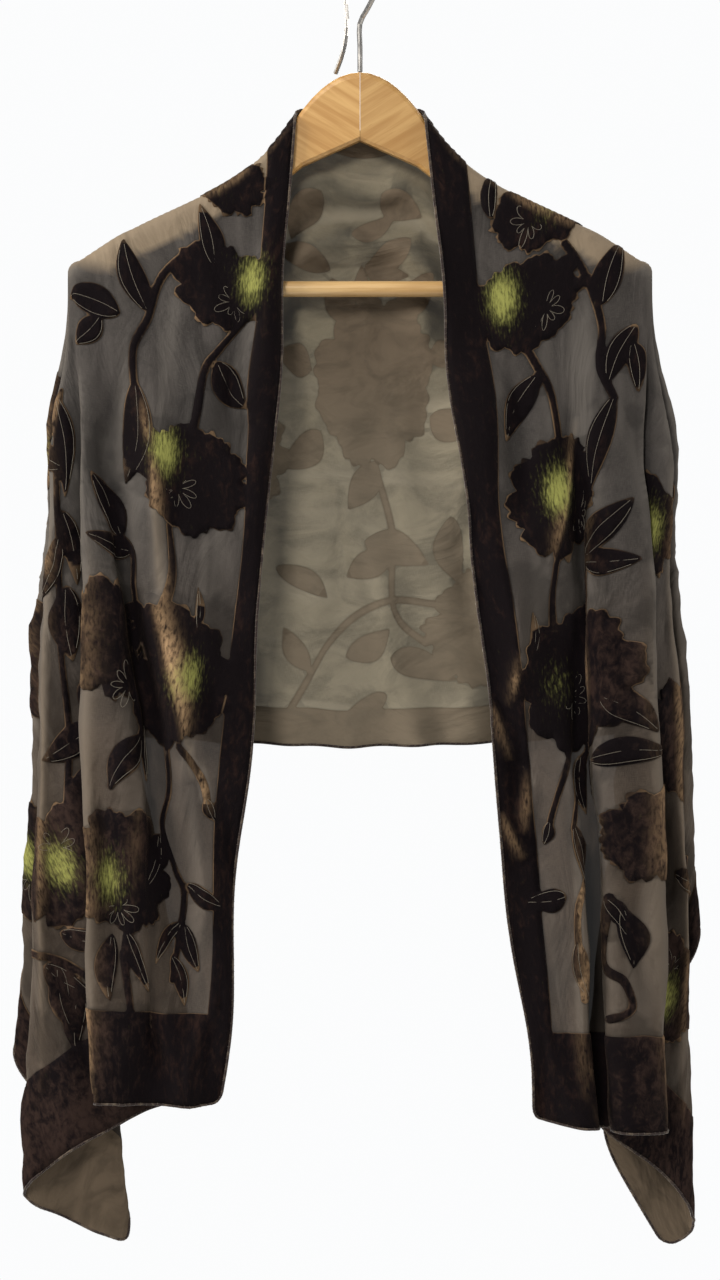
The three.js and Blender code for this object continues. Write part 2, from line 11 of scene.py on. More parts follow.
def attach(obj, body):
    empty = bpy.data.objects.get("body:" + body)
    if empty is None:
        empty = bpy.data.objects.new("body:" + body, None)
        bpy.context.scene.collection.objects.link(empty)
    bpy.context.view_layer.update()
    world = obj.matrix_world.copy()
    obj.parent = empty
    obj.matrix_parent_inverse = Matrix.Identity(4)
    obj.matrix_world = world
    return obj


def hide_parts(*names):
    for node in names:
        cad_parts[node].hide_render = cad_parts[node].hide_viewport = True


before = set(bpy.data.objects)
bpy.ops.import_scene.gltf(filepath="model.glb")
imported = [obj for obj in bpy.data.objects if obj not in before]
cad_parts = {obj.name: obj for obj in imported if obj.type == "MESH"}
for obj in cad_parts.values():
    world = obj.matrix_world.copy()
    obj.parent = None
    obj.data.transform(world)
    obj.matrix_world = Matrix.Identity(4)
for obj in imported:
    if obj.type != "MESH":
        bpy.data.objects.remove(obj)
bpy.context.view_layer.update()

bl_info = {
    "name": "Evening stole on a hanger",
    "version": (1, 0, 0),
    "blender": (4, 5, 0),
    "location": "View3D > Sidebar > Stole",
    "description": "Cuts, drapes and finishes a burn-out velvet stole and its hanger",
    "category": "Object",
}

# All cloth sizes are in millimetres until a mesh is made.
MM = 0.001
STOLE_NODES = ("stole_left_front", "stole_left_side", "stole_back", "stole_right_side", "stole_right_front")
ARM_NODES = ("hanger_left_arm", "hanger_right_arm")
SIDES = {"left": -1, "right": 1}

# The flat cloth, and the way that it is carried by the arms.
STOLE_LENGTH = 1660
STOLE_WIDTH = 510
HALF_LENGTH = STOLE_LENGTH / 2
NECK_CLOTH = 58
NECK_OUT = 50
NECK_RISE = 13
RISE_POWER = 7
NECK_SAG = 29
NECK_POINT_Z = -116
TIP_OUT = 220
SHOULDER_DROP = 114
SHOULDER_SCOOP = 128
SCOOP_POWER = 2.5
SHOULDER_RUN = 145
BEND_RADIUS = 9
QUARTER = np.pi / 2
TIP_ALONG = NECK_CLOTH + SHOULDER_RUN
END_FALL = HALF_LENGTH - TIP_ALONG
EDGE_FALL = STOLE_WIDTH - SHOULDER_RUN
LEAST_FALL = 0.05

Front = namedtuple("Front", "edge_out tip_out edge_extra tip_extra fold_at fold_drift rise full ease flat")
FRONTS = {
    "left": Front(96, 207, 3, 33, 114, -84, 0.05, 0.42, 0.72, 1),
    "right": Front(119, 237, 12, 56, 55, 6, 0.12, 0.5, 2, 3),
}
LetIn = namedtuple("LetIn", "at out deep")
LET_INS = {
    "left": [
        LetIn(-90, 0, 0),
        LetIn(-45, 0, 0),
        LetIn(0, 5, -7),
        LetIn(30, 8, 8),
        LetIn(56, -3, -5),
        LetIn(96, 0, 0),
        LetIn(135, 0, 0),
        LetIn(165, 0, 0),
    ],
    "right": [
        LetIn(-90, 0, 0),
        LetIn(-48, 0, 0),
        LetIn(0, 6, -7),
        LetIn(30, 3, 8),
        LetIn(56, -13, -5),
        LetIn(92, -3, -4),
        LetIn(130, 0, 0),
        LetIn(160, 0, 0),
    ],
}
FOLD_IN = 14
FOLD_OFF = 40
FRONT_LEAN = 14

Fold = namedtuple("Fold", "turn out deep curve extra")
CASCADES = {
    "left": [
        Fold(10, 116, 8, 1.4, 12),
        Fold(24, 255, 14, 0.6, 44),
        Fold(31, 180, 22, 0.85, 47),
        Fold(38, 265, 29, 0.6, 34),
        Fold(50, 172, 36, 0.85, 25),
        Fold(63, 260, 43, 0.6, 20),
        Fold(77, 180, 50, 0.85, 18),
    ],
    "right": [
        Fold(12, 166, 9, 1.4, 24),
        Fold(27, 254, 15, 0.6, 52),
        Fold(35, 186, 23, 0.85, 36),
        Fold(44, 267, 30, 0.62, 6),
        Fold(56, 176, 37, 0.85, 10),
        Fold(67, 260, 44, 0.6, 14),
        Fold(79, 182, 51, 0.85, 16),
    ],
}
CASCADE_START = 25
CASCADE_OPEN = 130
DEEP_CURVE = 0.75
FOLD_RADIUS = 2
CASCADE_FALL = 640
FRONT_LINES = (-0.3, 0, 0.5, 0.85, 1)
BACK_LINES = (1, 0.8, 0.6, 0.4, 0.2, 0, -0.2, -0.4)
BACK_CENTRE_DEEP = 12
BACK_TIP_DEEP = 74
BACK_TIP_OUT = 216
BACK_TIP_EXTRA = 18
BACK_CENTRE_HEM = 495
COWL_FROM = 30
COWL_TO = 195
COWL_WAVES = 3
COWL_DEPTH = 6.5
COWL_SWING = 3.5
COWL_FADE = 0.35

# Slow waver of the hanging cloth, the same for layers that lie on each other.
WAVER_SEED = 11
WAVER_COUNT = 10
WAVER_LEVEL = (44, 105)
WAVER_DEEP = (160, 320)
WAVER_TALL = (150, 420)
WAVER_FROM = 40
WAVER_FULL = 190
WAVER_PUSH = (0.5, 1, 0.15)

# Drag lines, soft ridges and troughs, each between two places on the flat cloth.
Crease = namedtuple("Crease", "side along across to_along to_across width height")
CREASES = [
    Crease(-1, 150, 70, 300, 20, 9, 2.5),
    Crease(-1, 170, 112, 330, 122, 12, 3),
    Crease(-1, 295, 100, 470, 72, 8, 5),
    Crease(-1, 440, 80, 580, 44, 8, 7),
    Crease(-1, 340, 122, 520, 92, 10, -6),
    Crease(-1, 440, 98, 600, 66, 9, -7),
    Crease(-1, 430, 112, 590, 90, 6, 4),
    Crease(-1, 400, 139, 822, 138, 7, 4.2),
    Crease(-1, 400, 116, 860, 114, 21, 7),
    Crease(-1, 300, 176, 830, 338, 20, 6),
    Crease(-1, 330, 196, 780, 378, 7, 4.6),
    Crease(-1, 365, 263, 660, 477, 6, 4.4),
    Crease(-1, 560, 40, 606, 30, 6, 4),
    Crease(-1, 620, 20, 740, 60, 12, 3),
    Crease(-1, 600, 90, 800, 86, 11, -4),
    Crease(-1, 740, 20, 822, 50, 7, 2.5),
    Crease(-1, 755, 100, 818, 60, 6, -2.5),
    Crease(1, 150, 60, 330, 22, 9, 2.5),
    Crease(1, 165, 110, 330, 125, 12, 3),
    Crease(1, 305, 96, 405, 58, 7, 5),
    Crease(1, 330, 112, 430, 84, 8, -4),
    Crease(1, 440, 98, 600, 94, 7, 6),
    Crease(1, 440, 80, 600, 70, 8, -6),
    Crease(1, 420, 40, 560, 14, 9, 2.5),
    Crease(1, 400, 140, 822, 139, 7, 3.9),
    Crease(1, 420, 122, 640, 122, 19, 6),
    Crease(1, 610, 120, 860, 120, 19, 7),
    Crease(1, 300, 178, 830, 352, 20, 6),
    Crease(1, 330, 204, 780, 414, 7, 4.6),
    Crease(1, 352, 279, 540, 448, 6, 4.4),
    Crease(1, 600, 66, 826, 56, 8, 3.9),
    Crease(1, 620, 82, 860, 78, 9, -19),
    Crease(1, 620, 100, 840, 100, 9, 4),
    Crease(1, 745, 20, 815, 40, 7, 2.5),
    Crease(1, 470, 30, 515, 14, 6, 3.7),
    Crease(1, 512, 0, 556, 14, 7, 4.4),
    Crease(1, 560, 29, 612, 22, 6, 4),
    Crease(1, 596, 2, 630, 22, 7, 4.3),
    Crease(1, -46, 36, 30, 52, 8, 4),
    Crease(1, -30, 58, 48, 64, 8, -4),
    Crease(1, -48, 80, 20, 74, 9, 4),
    Crease(1, -10, 92, 50, 104, 9, 3.5),
    Crease(1, -50, 118, 40, 112, 9, -3),
    Crease(-1, 150, 150, 30, 196, 13, 3),
    Crease(1, 150, 152, 34, 206, 13, 3),
    Crease(-1, 170, 190, 60, 262, 14, -3),
    Crease(1, 172, 186, 64, 250, 14, -3),
    Crease(-1, 190, 250, 120, 420, 15, 3),
    Crease(1, 188, 240, 130, 430, 15, 3),
    Crease(1, -40, 300, 10, 420, 12, 3),
    Crease(1, 30, 260, 60, 400, 12, -3),
]
# Widths are shares of a crease's own. The pile is rubbed, with a painted sheen highlight, on narrow ridges
# that are high enough, and the sheer gets a painted highlight there.
CREASE_ENDS = 0.7
CREASE_STEP = 5
CREASE_ROWS = (-0.9, -0.45, 0, 0.45, 0.9)
RUB_SHEEN_NARROW = (0.3, 0.7)
RUB_SHEEN_HEIGHT = (2.6, 7)
RUB_SHEEN_WIDEST = 10

# Short uneven crinkles over the whole cloth.
CRINKLE_SEED = 5
CRINKLE_COUNT = 16
CRINKLE_LENGTH = (22, 60)
CRINKLE_ALONG = 0.25
CRINKLE_FROM = 12

# The burn-out figure: pile left standing on the sheer ground.
# The left front's edge leans in at the neck, so less of its border faces out there.
Border = namedtuple("Border", "top hem")
BORDERS = {"left": Border(19, 28), "right": Border(29, 29)}
BORDER_FROM = 250
BORDER_TO = 740
OUTER_BORDER = 29
END_BORDER = 70
# The raster's step, and how far from its end the last place lies that is still inside its last cell.
RASTER = 2
LAST_CELL = 1.001
Flower = namedtuple(
    "Flower", "along across radius stretch turn dye_along dye_across dye eye_along eye_across"
)
FLOWERS = {
    "left": [
        Flower(193, 46, 33, 0.95, 20, -8, -22, 0.9, 9, -8),
        Flower(112, 42, 23, 1, 100, 2, 6, 0.1, 6, 4),
        Flower(347, 59, 41, 1, 75, -16, 22, 1, 8, 8),
        Flower(500, 74, 54, 1, 130, 0, -18, 0.8, 20, 42),
        Flower(655, 112, 45, 1, 200, 8, 12, 0.8, 28, 4),
        Flower(632, 294, 45, 1, 250, -4, 6, 0.9, -16, 2),
        Flower(565, 415, 42, 1, 300, -6, 2, 0.9, 10, 6),
        Flower(300, 235, 42, 1, 10, 6, 6, 0.8, -12, -4),
        Flower(440, 330, 44, 1, 60, 4, -6, 0.1, 12, 4),
        Flower(395, 450, 40, 1, 110, 4, -6, 0.8, 12, 4),
        Flower(260, 395, 46, 1, 160, 4, -6, 0.8, 12, 4),
        Flower(700, 430, 42, 1, 210, 4, -6, 0.7, 12, 4),
        Flower(110, 285, 47, 1, 260, 4, -6, 0.8, 12, 4),
        Flower(130, 440, 42, 1, 310, 4, -6, 0.8, 12, 4),
        Flower(484, 126, 35, 1.25, 40, 0, 0, 0.05, 0, 0),
    ],
    "right": [
        Flower(143, 80, 33, 0.88, 15, -8, 4, 0.5, 6, -12),
        Flower(209, 62, 37, 0.92, 40, -10, -16, 1, 8, 14),
        Flower(358, 72, 41, 1.1, 85, -6, -2, 1, 18, 20),
        Flower(498, 82, 54, 1, 140, 0, -22, 0.3, 10, -10),
        Flower(398, 196, 40, 1, 190, -2, 12, 0.9, 12, -8),
        Flower(618, 142, 33, 1, 230, 0, 10, 0.1, 10, -4),
        Flower(698, 350, 40, 1, 280, 6, 4, 0.9, -12, -4),
        Flower(520, 300, 44, 1, 330, 4, -6, 0.1, 12, 4),
        Flower(255, 320, 44, 1, 25, 4, -6, 0.8, 12, 4),
        Flower(430, 430, 44, 1, 70, 4, -6, 0.8, 12, 4),
        Flower(590, 440, 40, 1, 120, 4, -6, 0.8, 12, 4),
        Flower(14, 220, 60, 0.85, 170, 4, -6, 0.8, 12, 4),
        Flower(105, 420, 46, 1, 215, 4, -6, 0.8, 12, 4),
        Flower(270, 455, 38, 1, 260, 4, -6, 0.8, 12, 4),
    ],
}
PETALS = 9
PETAL_DEPTH = 0.15
PETAL_POINT = 0.6
TEETH = 34
TOOTH_DEPTH = 2.4
PETAL_SWAY = 0.4
Swing = namedtuple("Swing", "count size lag")
RAGGED = [Swing(11, 1, 1), Swing(17, 0.7, -2.3), Swing(29, 0.5, 4)]
RAGGED_DEPTH = 1.2
FLOWER_ROOM = 1.7
DYE_REACH = 15
DYE_DOWN = 0.55
DYE_OVER = 1.6

Leaf = namedtuple("Leaf", "along across heading length width")
LEAVES = {
    "left": [
        Leaf(178, 52, 165, 46, 18),
        Leaf(232, 97, 160, 52, 22),
        Leaf(240, 116, 98, 42, 25),
        Leaf(246, 130, 40, 34, 17),
        Leaf(250, 48, -38, 46, 27),
        Leaf(285, 104, 3, 80, 19),
        Leaf(405, 110, 150, 50, 20),
        Leaf(413, 100, 95, 40, 19),
        Leaf(462, 52, 180, 34, 9),
        Leaf(540, 92, 3, 50, 14),
        Leaf(554, 104, 26, 48, 20),
        Leaf(592, 34, -25, 20, 10),
        Leaf(625, 78, 20, 46, 14),
        Leaf(660, 52, -65, 40, 16),
        Leaf(690, 55, 38, 42, 13),
        Leaf(692, 52, -20, 40, 13),
        Leaf(716, 62, -20, 42, 13),
        Leaf(700, 112, -25, 50, 14),
        Leaf(704, 122, 5, 50, 16),
        Leaf(355, 195, 140, 50, 18),
        Leaf(400, 215, 40, 50, 18),
        Leaf(438, 222, 14, 58, 27),
        Leaf(548, 238, 90, 46, 26),
        Leaf(572, 258, 20, 50, 28),
        Leaf(690, 338, -30, 50, 18),
        Leaf(698, 328, 10, 50, 18),
        Leaf(512, 238, -12, 56, 24),
        Leaf(640, 380, 60, 46, 18),
        Leaf(722, 318, 28, 48, 18),
        Leaf(676, 318, -50, 42, 17),
        Leaf(360, 380, 80, 46, 18),
        Leaf(330, 330, 120, 46, 18),
        Leaf(200, 330, 60, 48, 18),
        Leaf(190, 440, 20, 46, 18),
        Leaf(70, 370, 150, 44, 18),
        Leaf(36, 62, 60, 48, 24),
        Leaf(8, 96, 200, 44, 22),
        Leaf(30, 128, -30, 46, 22),
        Leaf(18, 176, -75, 44, 24),
        Leaf(40, 215, -25, 40, 26),
        Leaf(34, 262, 40, 44, 26),
        Leaf(12, 440, -150, 46, 22),
        Leaf(46, 452, -60, 40, 18),
        Leaf(300, 184, 12, 80, 16),
        Leaf(384, 206, 8, 60, 16),
    ],
    "right": [
        Leaf(138, 42, 172, 40, 12),
        Leaf(232, 116, 160, 46, 23),
        Leaf(252, 139, -30, 44, 20),
        Leaf(264, 136, 5, 38, 16),
        Leaf(298, 122, -12, 68, 18),
        Leaf(262, 66, -32, 54, 22),
        Leaf(412, 103, 140, 48, 22),
        Leaf(416, 104, 84, 31, 20),
        Leaf(475, 44, 180, 36, 9),
        Leaf(515, 112, 45, 42, 20),
        Leaf(560, 104, 92, 44, 20),
        Leaf(552, 78, 0, 46, 14),
        Leaf(550, 92, 4, 36, 12),
        Leaf(600, 40, -20, 20, 10),
        Leaf(603, 62, 12, 52, 16),
        Leaf(657, 50, -80, 32, 18),
        Leaf(660, 110, 25, 38, 14),
        Leaf(668, 120, 8, 46, 20),
        Leaf(690, 58, 10, 46, 13),
        Leaf(440, 160, 30, 48, 18),
        Leaf(455, 190, 60, 48, 18),
        Leaf(548, 160, 90, 44, 22),
        Leaf(548, 232, 50, 52, 26),
        Leaf(592, 262, 15, 56, 28),
        Leaf(620, 320, 100, 46, 18),
        Leaf(478, 224, 24, 56, 25),
        Leaf(640, 286, -30, 50, 24),
        Leaf(330, 250, 30, 48, 18),
        Leaf(340, 370, 60, 48, 18),
        Leaf(200, 385, 120, 46, 18),
        Leaf(180, 260, 20, 46, 18),
        Leaf(20, 58, 40, 46, 24),
        Leaf(46, 104, 150, 48, 24),
        Leaf(6, 122, 20, 40, 20),
        Leaf(6, 168, -95, 46, 24),
        Leaf(40, 172, -60, 46, 24),
        Leaf(62, 205, -10, 34, 26),
        Leaf(64, 250, 30, 34, 26),
        Leaf(14, 285, 120, 44, 26),
        Leaf(8, 348, 20, 54, 28),
        Leaf(30, 362, 160, 44, 22),
        Leaf(28, 440, 20, 56, 24),
        Leaf(24, 470, 160, 40, 18),
        Leaf(74, 330, 80, 56, 28),
        Leaf(520, 400, 40, 46, 18),
    ],
}
LEAF_SHOULDER = 0.8
LEAF_POINT = 0.9
LEAF_BOW = 0.06
BOW_CHANGE = 7.3
LEAF_ROOM = 1.2

Stem = namedtuple("Stem", "side points")
STEMS = [
    Stem(-1, [(165, 64), (200, 88), (235, 97), (262, 106), (292, 104)]),
    Stem(-1, [(218, 30), (240, 46), (262, 57), (312, 62)]),
    Stem(-1, [(386, 74), (420, 71), (452, 75)]),
    Stem(-1, [(405, 110), (414, 100), (440, 96), (464, 92)]),
    Stem(-1, [(546, 100), (575, 116), (594, 124)]),
    Stem(-1, [(553, 58), (566, 45), (580, 36), (597, 32)]),
    Stem(-1, [(548, 72), (590, 66), (620, 74), (650, 62), (668, 54), (700, 56), (735, 60)]),
    Stem(-1, [(698, 110), (725, 114), (760, 110)]),
    Stem(-1, [(300, 180), (355, 200), (420, 222), (480, 242), (540, 256), (600, 282)]),
    Stem(-1, [(330, 250), (380, 290), (420, 318)]),
    Stem(-1, [(610, 420), (650, 380), (690, 330), (740, 300)]),
    Stem(-1, [(150, 300), (200, 345), (240, 370)]),
    Stem(1, [(176, 92), (205, 105), (245, 115), (275, 113), (302, 122)]),
    Stem(1, [(236, 58), (258, 66), (283, 74), (320, 76)]),
    Stem(1, [(395, 66), (430, 60), (458, 60)]),
    Stem(1, [(390, 98), (412, 103), (440, 98), (462, 96)]),
    Stem(1, [(546, 68), (575, 52), (595, 42), (608, 38)]),
    Stem(1, [(548, 84), (580, 72), (606, 62)]),
    Stem(1, [(648, 68), (665, 60), (690, 58), (735, 62)]),
    Stem(1, [(660, 112), (705, 106), (722, 118), (740, 122), (748, 110)]),
    Stem(1, [(430, 205), (470, 222), (530, 238), (600, 262), (660, 322)]),
    Stem(1, [(300, 330), (350, 370), (400, 410)]),
    Stem(1, [(14, 290), (30, 340), (32, 400), (60, 430)]),
    Stem(1, [(-60, 480), (-25, 426), (20, 396), (74, 400)]),
]
STEM_HALF = 2.8
STEM_STEPS = 14
STEM_ROOM = 4

# Spacing of the cloth's points.
GRID = 6
FINE = 4
BEND_ROWS = (1.5, 4, 7, 10, 13)
SIDE_FROM = 18
SIDE_MOST = 14
SIDE_EVEN = 0.4
CORNER = 9
CORNER_STEPS = 5
KEEP_OFF = 1.7
NEAR_CREASE = 0.4
NORMAL_STEP = 0.6
TINY_TURN = 1e-6
TINY_LENGTH = 1e-9
TINY_AREA = 1e-15

# Cutting the cloth into triangles along the figure's edge.
Cut = namedtuple("Cut", "flat places normals triangles piled")
CUT_LIMITS = (0.12, 0.88)
CUT_GAP = 1e-4
THIN_TRIANGLE = 1e-6
# Which sides of a raster cell the figure's edge joins, for each pattern of corners inside.
CELL_CUTS = {
    1: [("left", "low")],
    2: [("low", "right")],
    3: [("left", "right")],
    4: [("right", "high")],
    5: [("left", "high"), ("low", "right")],
    6: [("low", "high")],
    7: [("left", "high")],
    8: [("left", "high")],
    9: [("low", "high")],
    10: [("left", "low"), ("right", "high")],
    11: [("right", "high")],
    12: [("left", "right")],
    13: [("low", "right")],
    14: [("left", "low")],
}

# What each point of the cloth tells its material. Rays from the draped cloth run in metres.
FLAT_MAP = "flat_cloth"
CREST_SMOOTH = 2
CREST_FULL = 55
CREST_MOST = 2
# Painted shade: how much nearby cloth closes in each point.
SHADE_RAYS = 14
SHADE_START = 0.0015
SHADE_REACH = 0.05
SHADE_ASIDE = (0.31, 0.22, 0.93)
# Painted see-through: how far behind the sheer the figure is looked for.
GHOST_REACH = 0.12
ARM_SHOWS = (26, 32)
ARM_EASE = (20, 14)
# Painted light: the outer folds of the velvet shown lit and brown.
LIT_ACROSS = (84, 124)
LIT_ALONG = (330, 520)
BACK_EASE = (30, 60)

# The pile, whose foot is lifted in metres, the rolled hem and the sewn threads.
PILE_SOFTEN = 0.62
PILE_FOOT = 0.00006
HEM_STEP = 3
HEM_LIFT = 0.3
HEM_SIDES = 6
HEM_THREAD = 0.7
STITCH_ROUND = 1.12
STITCH_SLANT = 0.6
STITCH_POINTS = 8
STITCH_SIDES = 3
THREAD_SIDES = 4
EYE_POINTS = 96
EYE_LOOPS = 9
EYE_SPREAD = 1.9
EYE_LEAST_DYE = 0.2
EYE_CORE = 3.4
EYE_REACH = 15
EYE_UNEVEN = [Swing(3, 0.22, 1), Swing(5, 0.14, 2)]
EYE_ROUND = 0.7
EYE_OVER = 0.8
VEIN_POINTS = 14
Vein = namedtuple("Vein", "aside start end")
VEINS = [Vein(-0.8, 0.06, 0.84), Vein(0, 0.06, 0.92)]

# Grain of each finish: cycles in a metre each way, detail, roughness and twist.
Grain = namedtuple("Grain", "stretch detail rough twist", defaults=(3, 0.55, 0))
CRUSH = Grain((110, 190, 1), 5, 0.68, 0.4)
PATCH = Grain((14, 22, 1))
STREAK = Grain((160, 620, 1), 4, 0.6, 0.3)
FIBRE = Grain((2600, 2600, 1), 2)
CLOUD = Grain((22, 34, 1), 4, 0.6, 0.8)
BAND = Grain((5, 32, 1), 2, 0.5, 0.4)
WARP = Grain((240, 3200, 1), 1)
WEFT = Grain((3200, 240, 1), 1)
WRINKLE = Grain((11, 24, 1), 4, 0.5, 1)
ROOT_CLOUD = Grain((34, 56, 1), 4, 0.55, 1.2)
ROOT_WEAVE = Grain((2400, 2400, 1), 1)
HEM_WEAR = Grain((160, 160, 160), 4)
THREAD_SPECKS = Grain((240, 240, 240), 2)
WOOD_LINES = Grain((9, 150, 190), 4, 0.6, 0.6)
WOOD_BROAD = Grain((5, 40, 46), 2, 0.5, 1.2)
WOOD_PORES = Grain((90, 1500, 1500), 2)
WIRE_MARKS = Grain((900, 900, 120))
FLOOR_CLOUD = Grain((3, 3, 3))

# Velvet: the nap lies over where it is crushed and shows brown as painted light on the outer folds,
# is rubbed pale on ridges and edges with a painted sheen highlight on the ridges, takes painted shade where
# other cloth closes it in, and takes the dye in strokes.
NAP_CRUSH = 0.55
NAP_PATCH = 0.45
NAP_LOWER = 0.05
NAP_LOW = (-0.55, -0.95)
NAP_LIT = 0.045
NAP_LIES = (0.5, 0.7)
RUB_SHEEN_STREAKS = (0.25, 0.62)
RUB_SHEEN_PATCHES = (0.3, 0.62)
RUB_SHEEN_CREST = (0.5, 2)
RUB_SHEEN_CREST_SHARE = 0.7
EDGE_DEPTH = (0.9, 0)
EDGE_PATCHES = (0.38, 0.62)
EDGE_SHARE = 0.3
DYE_BRUSH = 0.28
DYE_STROKES = (0.45, 0.8)
DYE_LEAST = 0.3
DYE_BREAK = 0.9
DYE_POOL = (0.1, 1.05)
VELVET_SHADE = (0.15, 0.9)
CRUSH_BUMP = 3
VELVET_BUMP = (0.5, 0.0006)

# Chiffon and the wrong side of the figure: painted highlights and shade of their folds, a painted shadow at
# the pile's foot, painted light through the back panel, and what shows through them painted in.
BLACK = (0, 0, 0)
PALE_THREAD = (0.9, 0.82, 0.7)
RIDGE_LIGHT = (0.9, 0.7, 0.48)
LIT_CLOTH = (0.62, 0.55, 0.41)
# Painted light on the back panel's wrong side, as if lit through from behind.
BACKLIT_ROOTS = (0.34, 0.27, 0.19)
DEEPER = 0.7
PALER = 0.06
RIDGE_LIGHT_SHARE = 0.2
CHIFFON_LOW = (-0.4, -0.68)
BACK_LOW = (-0.28, -0.42)
BACK_LIT = 0.2
CLOUD_SHOWS = (0.62, 0.36)
CLOUD_DEEP = 0.34
BAND_SHOWS = (0.5, 0.72)
WEAVE_SHOWS = (0.8, 1.3)
WEAVE_SHARE = 0.3
CREST_LIT = (0, 1.2)
CREST_SHADED = (0, -1.2)
SHADE_SHARE = 0.9
GHOST_SHARE = 0.45
OUTLINE = 1.5
OUTLINE_SHARE = 0.35
ARM_SHARE = 0.85
WEAVE_BUMP = 0.02
WRINKLE_BUMP = (0.5, 0.016)
ROOT_DARK = 0.6
ROOT_SHOWS = (0.28, 0.62)
ROOT_BACKLIT = 0.2
ROOT_LIT = 0.13

# Hem, thread, wood and wire.
HEM_SHOWS = (0.45, 0.75)
HEM_BUMP = (0.4, 0.0004)
THREAD_DARK = 0.45
WOOD_DARK = (0.72, 0.62, 0.48)
WOOD_LINE_SHARE = 0.55
WOOD_SHOWS = (0.38, 0.64)
PORES_SHOW = (0.62, 0.8)
WOOD_BUMP = (0.12, 0.0005)
ARM_GRAIN = {"hanger_left_arm": -0.55, "hanger_right_arm": 0.55}
ARM_TONES = {"hanger_left_arm": 1, "hanger_right_arm": 0.85}
ARM_SHIFT = 3.7
BAR_SHIFT = 1.3
WIRE_DARK = 0.7
WIRE_ROUGH = (-0.6, 2.4)

# Fixed values of each finish, by the shader's own names.
VELVET_FINISH = {
    "Roughness": 0.9,
    "Specular IOR Level": 0.1,
    "Sheen Weight": 0.16,
    "Sheen Roughness": 0.25,
    "Sheen Tint": (0.62, 0.42, 0.29, 1),
}
CHIFFON_FINISH = {
    "Roughness": 0.7,
    "Specular IOR Level": 0.2,
    "Sheen Weight": 0.14,
    "Sheen Roughness": 0.45,
    "Sheen Tint": (0.9, 0.78, 0.64, 1),
    "Alpha": 0.985,
}
ROOT_FINISH = {"Roughness": 0.85, "Specular IOR Level": 0.15}
HEM_FINISH = {"Roughness": 0.9, "Sheen Weight": 0.4, "Sheen Roughness": 0.4}
THREAD_FINISH = {"Roughness": 0.55}
WOOD_FINISH = {"Roughness": 0.36, "Coat Weight": 0.35, "Coat Roughness": 0.22}
WIRE_FINISH = {"Metallic": 1}
FLOOR_FINISH = {"Roughness": 0.8}

# A mix node's colour sockets, which share their names with those of its other kinds.
MIX_COLOURS = slice(6, 8)
MIX_RESULT = 2

# The stage, in metres: the photograph's frame as the picture plane through the hanger,
# the floor and the lights.
CAMERA_AWAY = 2.0
CAMERA_HEIGHT = -0.527
FRAME_HEIGHT = 1.003
SENSOR_HEIGHT = 24
FLOOR_HEIGHT = -1.33
FLOOR_RADIUS = 1.1
FLOOR_CORNERS = 64
FLOOR_TONES = ((0.80, 0.80, 0.79), (0.86, 0.86, 0.85))
ROOM_COLOUR = (0.97, 0.975, 0.98, 1)
ROOM_LIGHT = 0.26
Lamp = namedtuple("Lamp", "name place size power colour")
LAMPS = [
    Lamp("key", (-0.8, -1.9, 0.9), 0.7, 30, (1, 0.97, 0.93)),
    Lamp("left", (-2.0, -0.6, 0.3), 0.7, 44, (1, 0.95, 0.88)),
    Lamp("right", (2.0, -0.4, 0.3), 0.7, 19, (1, 0.95, 0.88)),
    Lamp("back", (0.4, 1.9, 0.6), 1.2, 28, (1, 1, 1)),
]


def length_property(name, description, default):
    """A length in metres that the panel shows with its unit."""
    return bpy.props.FloatProperty(
        name=name,
        description=description,
        default=default,
        subtype="DISTANCE",
        unit="LENGTH",
    )


class StoleSizes(bpy.types.PropertyGroup):
    """Sizes of the cloth's finish that a user would change."""

    pile: length_property("Pile height", "How far the velvet stands on the sheer ground", 0.0011)
    waver: length_property("Waver", "How far the hanging cloth strays from its plain fall", 0.0046)
    crinkle: length_property("Crinkle", "How far each short crinkle lifts the cloth", 0.0005)
    hem: length_property("Hem roll", "Radius of the rolled hem", 0.0011)
    stitch: length_property("Hem stitch", "Distance from one hem stitch to the next", 0.0045)
    thread: length_property("Thread", "Radius of the sewn thread", 0.00015)


def colour_property(name, description, default):
    """A colour that the panel shows with a picker."""
    return bpy.props.FloatVectorProperty(
        name=name,
        description=description,
        default=default,
        size=3,
        min=0,
        max=1,
        subtype="COLOR",
    )


